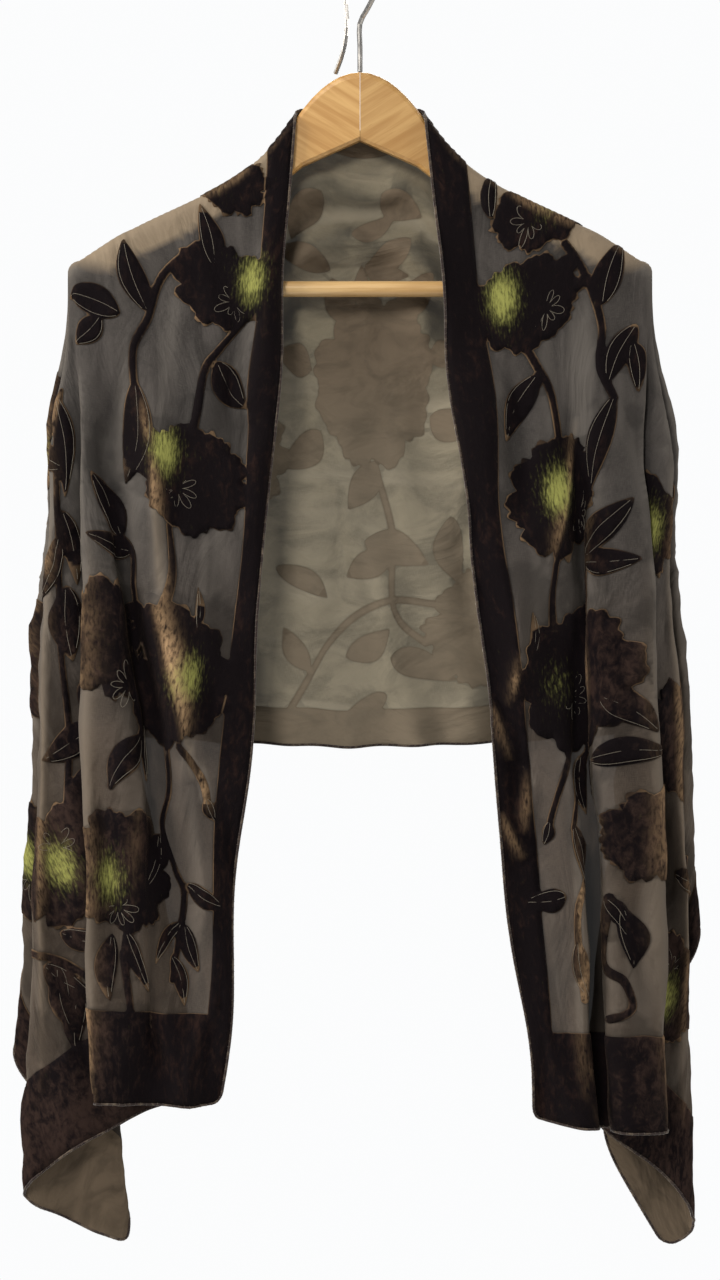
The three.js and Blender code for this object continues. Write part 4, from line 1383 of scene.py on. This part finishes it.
def open_side(along, across):
    """How far a place lies on the outer folds, where painted light shows the pile brown."""
    return smooth(*LIT_ACROSS, across) * smooth(*LIT_ALONG, np.abs(along))


def on_back(along, across):
    """1 on the back panel, 0 on the fronts and the sides."""
    behind = across - np.maximum(np.abs(along) - NECK_CLOTH, 0)
    past_tip = smooth(-BACK_EASE[1], 0, np.abs(along) - TIP_ALONG)
    return smooth(0, BACK_EASE[0], behind) * (1 - past_tip)


def ground_piece():
    """The sheer ground, one layer, with the wrong side of the figure."""
    cut = cut_cloth()
    materials = [chiffon_material(), wrong_side_material()]
    ground = add_piece("stole_ground", cut.places, cut.triangles.tolist(), materials, cut.piled)
    add_flat_map(ground, cut.flat)
    shade, ghost = shades()
    add_values(
        ground,
        crest=crests(),
        shade=shade,
        ghost=ghost,
        rub=rubbed(*cut.flat.T),
        depth=sampled(figure()[0], *cut.flat.T),
        arm=arm_behind(*cut.flat.T),
        back=on_back(*cut.flat.T),
    )
    return ground


def pile_piece():
    """The velvet that stands on the ground, with its cut sides."""
    cut = cut_cloth()
    triangles = cut.triangles[cut.piled]
    used, renamed = np.unique(triangles, return_inverse=True)
    top = renamed.reshape(-1, 3)
    pairs = sides_of(top)
    key = pairs.min(axis=1) * len(used) + pairs.max(axis=1)
    _, first, count = np.unique(key, return_index=True, return_counts=True)
    rim = pairs[first[count == 1]]
    rim_points = np.unique(rim)
    height = np.full(len(used), bpy.context.scene.stole_sizes.pile)
    height[rim_points] *= PILE_SOFTEN
    low = np.full(len(used), -1)
    low[rim_points] = len(used) + np.arange(len(rim_points))
    tops = cut.places[used] + cut.normals[used] * height[:, None]
    lows = cut.places[used][rim_points] + cut.normals[used][rim_points] * PILE_FOOT
    walls = np.stack([rim[:, 1], rim[:, 0], low[rim[:, 0]], low[rim[:, 1]]], axis=1)
    faces = top.tolist() + walls.tolist()
    pile = add_piece("stole_pile", np.concatenate([tops, lows]), faces, [velvet_material()])
    source = np.concatenate([used, used[rim_points]])
    flat = cut.flat[source]
    depth, dye = figure()
    add_flat_map(pile, flat)
    add_values(
        pile,
        crest=crests()[source],
        shade=shades()[0][source],
        dye=sampled(dye, *flat.T),
        depth=sampled(depth, *flat.T),
        rub=rubbed(*flat.T),
        open=open_side(*flat.T),
    )
    return pile


def line_object(name, lines):
    """Lines as the edges of a mesh, each a list of places and whether it closes."""
    places = []
    edges = []
    for line, closed in lines:
        start = len(places)
        places.extend(line.tolist())
        edges.extend((start + step, start + step + 1) for step in range(len(line) - 1))
        if closed:
            edges.append((start + len(line) - 1, start))
    mesh = bpy.data.meshes.new(name)
    mesh.from_pydata(places, edges, [])
    piece = bpy.data.objects.new(name, mesh)
    bpy.context.scene.collection.objects.link(piece)
    return piece


def join(tree, value, socket):
    """Sets a socket to a value, or joins it to another node's output."""
    if isinstance(value, bpy.types.NodeSocket):
        tree.links.new(value, socket)
    else:
        socket.default_value = value


def node(tree, kind, settings=None, **inputs):
    """A node in a tree, with its settings, and its inputs set or joined by name."""
    made = tree.nodes.new(kind)
    for name, value in (settings or {}).items():
        setattr(made, name, value)
    for name, value in inputs.items():
        join(tree, value, made.inputs[name.replace("_", " ")])
    return made


def arithmetic(tree, operation, first, second):
    """The result of one operation on two values."""
    made = node(tree, "ShaderNodeMath", {"operation": operation})
    join(tree, first, made.inputs[0])
    join(tree, second, made.inputs[1])
    return made.outputs[0]


def round_bar(tree, curve, sides, radius):
    """A round bar along a curve."""
    section = node(tree, "GeometryNodeCurvePrimitiveCircle", Resolution=sides, Radius=radius)
    bar = node(tree, "GeometryNodeCurveToMesh", Curve=curve, Profile_Curve=section.outputs["Curve"])
    return bar.outputs["Mesh"]


def painted(tree, shape, material):
    """A shape made real, in its material."""
    whole = node(tree, "GeometryNodeRealizeInstances", Geometry=shape)
    coloured = node(tree, "GeometryNodeSetMaterial", Geometry=whole.outputs["Geometry"], Material=material)
    return coloured.outputs["Geometry"]


def rope_tree(stitched):
    """Geometry nodes that turn lines into round thread, with stitches round it where asked."""
    tree = bpy.data.node_groups.new("hem_roll" if stitched else "sewn_thread", "GeometryNodeTree")
    inputs = {
        "Lines": "NodeSocketGeometry",
        "Radius": "NodeSocketFloat",
        "Stitch step": "NodeSocketFloat",
        "Stitch radius": "NodeSocketFloat",
        "Sides": "NodeSocketInt",
        "Material": "NodeSocketMaterial",
        "Stitch material": "NodeSocketMaterial",
    }
    for name, kind in inputs.items():
        tree.interface.new_socket(name, in_out="INPUT", socket_type=kind)
    tree.interface.new_socket("Rope", in_out="OUTPUT", socket_type="NodeSocketGeometry")
    given = node(tree, "NodeGroupInput").outputs
    curve = node(tree, "GeometryNodeMeshToCurve", Mesh=given["Lines"]).outputs["Curve"]
    bar = round_bar(tree, curve, given["Sides"], given["Radius"])
    smoothed = node(tree, "GeometryNodeSetShadeSmooth", Geometry=bar).outputs["Geometry"]
    rope = painted(tree, smoothed, given["Material"])
    if stitched:
        both = node(tree, "GeometryNodeJoinGeometry")
        for shape in (stitches(tree, given, curve), rope):
            tree.links.new(shape, both.inputs["Geometry"])
        rope = both.outputs["Geometry"]
    node(tree, "NodeGroupOutput", Rope=rope)
    return tree


def stitches(tree, given, curve):
    """A slanted loop of thread round the roll at each stitch."""
    spots = node(
        tree, "GeometryNodeCurveToPoints", {"mode": "LENGTH"}, Curve=curve, Length=given["Stitch step"]
    ).outputs
    wider = arithmetic(tree, "MULTIPLY", given["Radius"], STITCH_ROUND)
    loop = node(tree, "GeometryNodeCurvePrimitiveCircle", Resolution=STITCH_POINTS, Radius=wider)
    stitch = round_bar(tree, loop.outputs["Curve"], STITCH_SIDES, given["Stitch radius"])
    slanted = node(tree, "GeometryNodeTransform", Geometry=stitch, Rotation=(STITCH_SLANT, 0, 0))
    sewn = node(
        tree,
        "GeometryNodeInstanceOnPoints",
        Points=spots["Points"],
        Instance=slanted.outputs["Geometry"],
        Rotation=spots["Rotation"],
    )
    return painted(tree, sewn.outputs["Instances"], given["Stitch material"])


def rope_piece(name, lines, stitched, values):
    """A piece of round thread along lines, made plain mesh."""
    source = line_object(name + "_lines", lines)
    modifier = source.modifiers.new("rope", "NODES")
    modifier.node_group = rope_tree(stitched)
    for item in modifier.node_group.interface.items_tree:
        if item.in_out == "INPUT" and item.name in values:
            modifier[item.identifier] = values[item.name]
    graph = bpy.context.evaluated_depsgraph_get()
    mesh = bpy.data.meshes.new_from_object(source.evaluated_get(graph))
    mesh.name = name
    source.modifiers.remove(modifier)
    bpy.data.objects.remove(source)
    piece = bpy.data.objects.new(name, mesh)
    bpy.context.scene.collection.objects.link(piece)
    return piece


def hem_piece():
    """The rolled hem round the whole cloth, oversewn."""
    sizes = bpy.context.scene.stole_sizes
    rim = rim_line(HEM_STEP)
    line = raised(rim[:, 0], rim[:, 1], HEM_LIFT) * MM
    values = {
        "Radius": sizes.hem,
        "Sides": HEM_SIDES,
        "Stitch step": sizes.stitch,
        "Stitch radius": sizes.thread * HEM_THREAD,
        "Material": hem_material(),
        "Stitch material": thread_material(),
    }
    return rope_piece("stole_hem", [(line, True)], True, values)


def eye_line(flower, seed):
    """An open fan of thread loops on a flower, away from its heart, on the flat cloth."""
    turn = np.linspace(-EYE_SPREAD, EYE_SPREAD, EYE_POINTS)
    loops = np.abs(np.sin(EYE_LOOPS * turn / 2 + seed)) ** EYE_ROUND
    radius = mix(EYE_CORE, EYE_REACH, loops * (1 + swings(EYE_UNEVEN, turn, seed)))
    turn = turn + np.arctan2(flower.eye_across - flower.dye_across, flower.eye_along - flower.dye_along)
    along = flower.along + flower.eye_along + radius * np.cos(turn)
    across = flower.across + flower.eye_across + EYE_OVER * radius * np.sin(turn)
    return np.stack([along, across], axis=1)


def vein_line(leaf, vein):
    """One vein of a leaf, sewn from its stalk towards its tip, on the flat cloth."""
    shares = np.linspace(vein.start, vein.end, VEIN_POINTS)
    aside = vein.aside * leaf_half(leaf, shares)
    return np.stack(leaf_places(leaf, shares * leaf.length, aside), axis=1)


def threads_piece():
    """Pale thread sewn over the flowers and the leaves."""
    sizes = bpy.context.scene.stole_sizes
    flat = []
    for side_name, side in SIDES.items():
        for seed, flower in enumerate(FLOWERS[side_name]):
            if flower.dye > EYE_LEAST_DYE:
                flat.append(eye_line(flower, seed) * (side, 1))
        for leaf in LEAVES[side_name]:
            flat.extend(vein_line(leaf, vein) * (side, 1) for vein in VEINS)
    places = raised(*np.concatenate(flat).T, sizes.pile / MM) * MM
    ends = np.cumsum([len(line) for line in flat])
    lines = [(line, False) for line in np.split(places, ends[:-1])]
    values = {"Radius": sizes.thread, "Sides": THREAD_SIDES, "Material": thread_material()}
    return rope_piece("stole_threads", lines, False, values)


class Paint:
    """A material in the making, with short ways to fill its node tree."""

    def __init__(self, name):
        self.material = bpy.data.materials.new(name)
        self.material.use_nodes = True
        self.tree = self.material.node_tree
        self.tree.nodes.clear()

    def flat(self):
        """The place on the flat cloth, in metres."""
        return node(self.tree, "ShaderNodeUVMap", {"uv_map": FLAT_MAP}).outputs["UV"]

    def place(self):
        """The place in the frame, in metres."""
        return node(self.tree, "ShaderNodeTexCoord").outputs["Object"]

    def height(self):
        """The height in the frame, in metres."""
        return node(self.tree, "ShaderNodeSeparateXYZ", Vector=self.place()).outputs["Z"]

    def value(self, name):
        """A value that the piece holds at each point."""
        return node(self.tree, "ShaderNodeAttribute", {"attribute_name": name}).outputs["Fac"]

    def grain(self, place, kind):
        """Soft noise of that grain."""
        mapped = node(self.tree, "ShaderNodeMapping", Vector=place, Scale=kind.stretch)
        noise = node(
            self.tree,
            "ShaderNodeTexNoise",
            Vector=mapped.outputs["Vector"],
            Scale=1,
            Detail=kind.detail,
            Roughness=kind.rough,
            Distortion=kind.twist,
        )
        return noise.outputs["Fac"]

    def plus(self, first, second):
        """The sum of two values."""
        return arithmetic(self.tree, "ADD", first, second)

    def times(self, first, second):
        """The product of two values."""
        return arithmetic(self.tree, "MULTIPLY", first, second)

    def larger(self, first, second):
        """The larger of two values."""
        return arithmetic(self.tree, "MAXIMUM", first, second)

    def ramp(self, value, limits):
        """A soft share from 0 at the first limit to 1 at the second."""
        made = node(self.tree, "ShaderNodeMapRange", {"interpolation_type": "SMOOTHSTEP"}, Value=value)
        made.inputs["From Min"].default_value, made.inputs["From Max"].default_value = limits
        return made.outputs["Result"]

    def mix(self, share, low, high):
        """A colour that share of the way from low to high."""
        made = node(self.tree, "ShaderNodeMix", {"data_type": "RGBA"}, Factor=share)
        for socket, colour in zip(made.inputs[MIX_COLOURS], (low, high)):
            joined = isinstance(colour, bpy.types.NodeSocket)
            join(self.tree, colour if joined else (*colour, 1), socket)
        return made.outputs[MIX_RESULT]

    def layered(self, colour, layers):
        """A colour with others laid over it in turn, each by its share."""
        for share, over in layers:
            colour = self.mix(share, colour, over)
        return colour

    def bump(self, height, strength, distance):
        """A normal from a height."""
        made = node(self.tree, "ShaderNodeBump", Height=height, Strength=strength, Distance=distance)
        return made.outputs["Normal"]

    def finish(self, fixed, **inputs):
        """The finished material, with the shader's fixed values and its joined inputs."""
        shader = node(self.tree, "ShaderNodeBsdfPrincipled", **inputs)
        for name, value in fixed.items():
            shader.inputs[name].default_value = value
        node(self.tree, "ShaderNodeOutputMaterial", Surface=shader.outputs["BSDF"])
        return self.material


def dimmed(colour, share):
    """A colour with that share of its light."""
    return tuple(part * share for part in colour)


def nap_and_painted_light(paint, colours, crush, patch):
    """The velvet's colour by how far its nap lies over, browner towards the bottom, and brown as painted
    light on the outer folds.
    """
    lit_share = paint.value("open")
    crushed = paint.plus(paint.times(crush, NAP_CRUSH), paint.times(patch, NAP_PATCH))
    crushed = paint.plus(crushed, paint.times(paint.ramp(paint.height(), NAP_LOW), NAP_LOWER))
    crushed = paint.plus(crushed, paint.times(lit_share, NAP_LIT))
    nap = paint.mix(lit_share, colours.nap, colours.open_nap)
    return paint.mix(paint.ramp(crushed, NAP_LIES), colours.shade, nap)


def rub_share(paint, patch, streak):
    """How far the pile is rubbed pale, with a painted sheen highlight, on ridges, and thinly along the
    figure's edge.
    """
    worn = paint.times(paint.ramp(streak, RUB_SHEEN_STREAKS), paint.ramp(patch, RUB_SHEEN_PATCHES))
    turned = paint.times(paint.ramp(paint.value("crest"), RUB_SHEEN_CREST), RUB_SHEEN_CREST_SHARE)
    ridge = paint.times(paint.larger(turned, paint.value("rub")), worn)
    edge = paint.times(paint.ramp(paint.value("depth"), EDGE_DEPTH), paint.ramp(patch, EDGE_PATCHES))
    return paint.larger(ridge, paint.times(edge, EDGE_SHARE))


def dye_share(paint, streak):
    """How far the dye covers the pile, in brush strokes."""
    dye = paint.value("dye")
    brushed = paint.ramp(paint.plus(streak, paint.times(dye, DYE_BRUSH)), DYE_STROKES)
    strokes = paint.plus(paint.times(brushed, 1 - DYE_LEAST), DYE_LEAST)
    broken = paint.times(paint.plus(streak, -0.5), DYE_BREAK)
    return paint.times(paint.ramp(paint.plus(dye, broken), DYE_POOL), strokes)


@cache
def velvet_material():
    """Crushed velvet: dark into the pile, brown where the nap lies over and as painted light on the outer
    folds, pale where it is rubbed and as a painted sheen highlight on ridges, with painted shade where
    other cloth closes it in.
    """
    colours = bpy.context.scene.stole_colours
    paint = Paint("velvet")
    flat = paint.flat()
    crush = paint.grain(flat, CRUSH)
    patch = paint.grain(flat, PATCH)
    streak = paint.grain(flat, STREAK)
    layers = (
        (rub_share(paint, patch, streak), colours.crest),
        (dye_share(paint, streak), colours.dye),
        # Painted shade where other cloth closes the pile in.
        (paint.ramp(paint.value("shade"), VELVET_SHADE), colours.shade),
    )
    colour = paint.layered(nap_and_painted_light(paint, colours, crush, patch), layers)
    relief = paint.plus(paint.grain(flat, FIBRE), paint.times(crush, CRUSH_BUMP))
    return paint.finish(VELVET_FINISH, Base_Color=colour, Normal=paint.bump(relief, *VELVET_BUMP))


def low_back(paint):
    """1 on the lower back panel, where more light falls on it between the fronts."""
    return paint.times(paint.value("back"), paint.ramp(paint.height(), BACK_LOW))


def wrinkled(paint, flat, weave):
    """A normal for soft wrinkles and the fine weave."""
    height = paint.plus(paint.times(weave, WEAVE_BUMP), paint.grain(flat, WRINKLE))
    return paint.bump(height, *WRINKLE_BUMP)


def chiffon_ground(paint, colours):
    """The colour of the burnt-out ground: taupe, browner near the ends, paler on the back panel as painted
    light through it from behind, and paler still low on the back where more light falls.
    """
    layers = (
        (paint.ramp(paint.height(), CHIFFON_LOW), colours.low_chiffon),
        (paint.value("back"), colours.backlit_ground),
        (paint.times(low_back(paint), BACK_LIT), LIT_CLOTH),
    )
    return paint.layered(colours.chiffon, layers)


@cache
def chiffon_material():
    """The burnt-out ground: sheer, with a fine weave, painted highlights and shade on its folds, a painted
    shadow at the pile's foot, and what lies behind it painted in.
    """
    colours = bpy.context.scene.stole_colours
    paint = Paint("sheer_chiffon")
    flat = paint.flat()
    ground = chiffon_ground(paint, colours)
    deeper = paint.mix(DEEPER, ground, BLACK)
    paler = paint.mix(PALER, ground, PALE_THREAD)
    weave = paint.plus(paint.grain(flat, WARP), paint.grain(flat, WEFT))
    crest = paint.value("crest")
    # A painted shadow on the sheer at the foot of the pile.
    outline = paint.ramp(paint.value("depth"), (-OUTLINE, 0))
    layers = (
        (paint.ramp(paint.grain(flat, CLOUD), CLOUD_SHOWS), paint.mix(CLOUD_DEEP, ground, BLACK)),
        (paint.ramp(paint.grain(flat, BAND), BAND_SHOWS), paler),
        (paint.times(paint.ramp(weave, WEAVE_SHOWS), WEAVE_SHARE), paler),
        # Painted highlights on the fold ridges and painted shade in the fold troughs.
        (paint.ramp(crest, CREST_LIT), paler),
        (paint.ramp(crest, CREST_SHADED), deeper),
        # A painted highlight on the narrow ridges of the sheer.
        (paint.value("rub"), paint.mix(RIDGE_LIGHT_SHARE, ground, RIDGE_LIGHT)),
        # Painted shade where other cloth closes the sheer in.
        (paint.times(paint.value("shade"), SHADE_SHARE), deeper),
        # A painted see-through: darker where the velvet figure lies close behind the sheer.
        (paint.times(paint.value("ghost"), GHOST_SHARE), deeper),
        (paint.times(outline, OUTLINE_SHARE), deeper),
        # The wooden arm's painted see-through glow.
        (paint.times(paint.value("arm"), ARM_SHARE), colours.arm_glow),
    )
    colour = paint.layered(ground, layers)
    return paint.finish(CHIFFON_FINISH, Base_Color=colour, Normal=wrinkled(paint, flat, weave))


@cache
def wrong_side_material():
    """The back of the figure, where the pile's roots colour the ground, paler on the back panel as painted
    light through it from behind.
    """
    under = bpy.context.scene.stole_colours.under
    paint = Paint("figure_wrong_side")
    flat = paint.flat()
    darker = dimmed(under, ROOT_DARK)
    outline = paint.ramp(paint.value("depth"), (OUTLINE, 0))
    layers = (
        (paint.ramp(paint.grain(flat, ROOT_CLOUD), ROOT_SHOWS), under),
        (paint.times(paint.value("back"), ROOT_BACKLIT), BACKLIT_ROOTS),
        (paint.times(low_back(paint), ROOT_LIT), LIT_CLOTH),
        (paint.times(outline, OUTLINE_SHARE), darker),
    )
    colour = paint.layered(darker, layers)
    normal = wrinkled(paint, flat, paint.grain(flat, ROOT_WEAVE))
    return paint.finish(ROOT_FINISH, Base_Color=colour, Normal=normal)


@cache
def hem_material():
    """The rolled edge: velvet turned over, rubbed paler."""
    colours = bpy.context.scene.stole_colours
    paint = Paint("hem_roll")
    worn = paint.grain(paint.place(), HEM_WEAR)
    colour = paint.mix(paint.ramp(worn, HEM_SHOWS), colours.nap, colours.under)
    return paint.finish(HEM_FINISH, Base_Color=colour, Normal=paint.bump(worn, *HEM_BUMP))


@cache
def thread_material():
    """Sewing thread, a little uneven in colour."""
    thread = bpy.context.scene.stole_colours.thread
    paint = Paint("sewing_thread")
    specks = paint.grain(paint.place(), THREAD_SPECKS)
    return paint.finish(THREAD_FINISH, Base_Color=paint.mix(specks, dimmed(thread, THREAD_DARK), thread))


def wood_material(name, colour, shift, turn):
    """Close-grained wood, its grain along the piece."""
    paint = Paint(name)
    turned = node(
        paint.tree, "ShaderNodeMapping", Vector=paint.place(), Rotation=(0, turn, 0), Location=(shift,) * 3
    ).outputs["Vector"]
    lines = paint.times(paint.grain(turned, WOOD_LINES), WOOD_LINE_SHARE)
    broad = paint.times(paint.grain(turned, WOOD_BROAD), 1 - WOOD_LINE_SHARE)
    grain = paint.plus(lines, broad)
    darker = [part * share for part, share in zip(colour, WOOD_DARK)]
    layers = (
        (paint.ramp(grain, WOOD_SHOWS), colour),
        (paint.ramp(paint.grain(turned, WOOD_PORES), PORES_SHOW), darker),
    )
    shade = paint.layered(darker, layers)
    return paint.finish(WOOD_FINISH, Base_Color=shade, Normal=paint.bump(grain, *WOOD_BUMP))


def metal_material(colour):
    """Drawn wire with fine lengthwise marks."""
    paint = Paint("nickel_wire")
    marks = paint.grain(paint.place(), WIRE_MARKS)
    shade = paint.mix(marks, dimmed(colour, WIRE_DARK), colour)
    return paint.finish(WIRE_FINISH, Base_Color=shade, Roughness=paint.ramp(marks, WIRE_ROUGH))


def finish_node(name, material):
    """Gives a hanger node its material."""
    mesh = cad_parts[name].data
    mesh.materials.clear()
    mesh.materials.append(material)


def add_lamp(lamp):
    """A soft square lamp that looks at the stole's middle."""
    data = bpy.data.lights.new(lamp.name, "AREA")
    data.size = lamp.size
    data.energy = lamp.power
    data.color = lamp.colour
    placed = bpy.data.objects.new(lamp.name, data)
    placed.location = lamp.place
    aim = Vector((0, 0, CAMERA_HEIGHT)) - Vector(lamp.place)
    placed.rotation_euler = aim.to_track_quat("-Z", "Y").to_euler()
    bpy.context.scene.collection.objects.link(placed)


def floor_piece():
    """A plain pale disc of floor below the stole."""
    turns = np.linspace(0, 2 * np.pi, FLOOR_CORNERS, endpoint=False)
    rim = np.stack([np.cos(turns), np.sin(turns), 0 * turns], axis=1) * FLOOR_RADIUS
    rim[:, 2] = FLOOR_HEIGHT
    paint = Paint("pale_floor")
    shade = paint.mix(paint.grain(paint.place(), FLOOR_CLOUD), *FLOOR_TONES)
    material = paint.finish(FLOOR_FINISH, Base_Color=shade)
    return add_piece("floor", rim, [list(range(FLOOR_CORNERS))], [material])


def add_room():
    """A bright backdrop for the camera that lights the stole only a little."""
    world = bpy.data.worlds.new("studio")
    world.use_nodes = True
    tree = world.node_tree
    backdrop = tree.nodes["Background"]
    backdrop.inputs["Color"].default_value = ROOM_COLOUR
    seen = node(tree, "ShaderNodeLightPath").outputs["Is Camera Ray"]
    strength = node(tree, "ShaderNodeMapRange", Value=seen, To_Min=ROOM_LIGHT)
    tree.links.new(strength.outputs["Result"], backdrop.inputs["Strength"])
    bpy.context.scene.world = world


def add_camera():
    """The camera at the photograph's angle."""
    data = bpy.data.cameras.new("camera")
    data.sensor_fit = "VERTICAL"
    data.sensor_height = SENSOR_HEIGHT
    data.lens = SENSOR_HEIGHT * CAMERA_AWAY / FRAME_HEIGHT
    data.dof.use_dof = False
    camera = bpy.data.objects.new("camera", data)
    camera.location = (0, -CAMERA_AWAY, CAMERA_HEIGHT)
    camera.rotation_euler = (QUARTER, 0, 0)
    bpy.context.scene.collection.objects.link(camera)
    bpy.context.scene.camera = camera


class STOLE_OT_ground(bpy.types.Operator):
    """Cut and drape the sheer ground"""

    bl_idname = "stole.ground"
    bl_label = "Sheer ground"

    def execute(self, context):
        ground = ground_piece()
        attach(ground, "root")
        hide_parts(*STOLE_NODES)
        return {"FINISHED"}


class STOLE_OT_pile(bpy.types.Operator):
    """Raise the velvet figure on the ground"""

    bl_idname = "stole.pile"
    bl_label = "Velvet pile"

    def execute(self, context):
        pile = pile_piece()
        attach(pile, "root")
        return {"FINISHED"}


class STOLE_OT_hem(bpy.types.Operator):
    """Roll and oversew the hem"""

    bl_idname = "stole.hem"
    bl_label = "Rolled hem"

    def execute(self, context):
        hem = hem_piece()
        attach(hem, "root")
        return {"FINISHED"}


class STOLE_OT_threads(bpy.types.Operator):
    """Sew the flowers' eyes and the leaves' veins"""

    bl_idname = "stole.threads"
    bl_label = "Sewn threads"

    def execute(self, context):
        threads = threads_piece()
        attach(threads, "root")
        return {"FINISHED"}


class STOLE_OT_hanger(bpy.types.Operator):
    """Finish the hanger's wood and wire"""

    bl_idname = "stole.hanger"
    bl_label = "Hanger finish"

    def execute(self, context):
        colours = context.scene.stole_colours
        for number, name in enumerate(ARM_NODES, 1):
            maple = dimmed(colours.maple, ARM_TONES[name])
            wood = wood_material("maple_" + name, maple, ARM_SHIFT * number, ARM_GRAIN[name])
            finish_node(name, wood)
        finish_node("hanger_bar", wood_material("bar_wood", colours.bar, BAR_SHIFT, 0))
        finish_node("hanger_hook", metal_material(colours.nickel))
        return {"FINISHED"}


class STOLE_OT_stage(bpy.types.Operator):
    """Set the floor, the lights and the camera"""

    bl_idname = "stole.stage"
    bl_label = "Stage"

    def execute(self, context):
        floor_piece()
        add_room()
        for lamp in LAMPS:
            add_lamp(lamp)
        add_camera()
        context.scene.view_settings.view_transform = "Standard"
        return {"FINISHED"}


class STOLE_PT_panel(bpy.types.Panel):
    """Steps of the stole, with its sizes and colours"""

    bl_idname = "STOLE_PT_panel"
    bl_label = "Evening stole"
    bl_space_type = "VIEW_3D"
    bl_region_type = "UI"
    bl_category = "Stole"

    def draw(self, context):
        for step in STEPS:
            self.layout.operator(step.bl_idname)
        for group in (context.scene.stole_sizes, context.scene.stole_colours):
            for name in group.__annotations__:
                self.layout.prop(group, name)


STEPS = (STOLE_OT_ground, STOLE_OT_pile, STOLE_OT_hem, STOLE_OT_threads, STOLE_OT_hanger, STOLE_OT_stage)
CLASSES = (StoleSizes, StoleColours, *STEPS, STOLE_PT_panel)


def register():
    """Makes the steps, the panel and the values known to Blender."""
    for each in CLASSES:
        bpy.utils.register_class(each)
    bpy.types.Scene.stole_sizes = bpy.props.PointerProperty(type=StoleSizes)
    bpy.types.Scene.stole_colours = bpy.props.PointerProperty(type=StoleColours)


def unregister():
    """Takes them away again."""
    del bpy.types.Scene.stole_colours
    del bpy.types.Scene.stole_sizes
    for each in reversed(CLASSES):
        bpy.utils.unregister_class(each)


def main():
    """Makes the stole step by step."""
    register()
    for operator in (
        bpy.ops.stole.ground,
        bpy.ops.stole.pile,
        bpy.ops.stole.hem,
        bpy.ops.stole.threads,
        bpy.ops.stole.hanger,
        bpy.ops.stole.stage,
    ):
        operator()


if __name__ == "__main__":
    main()
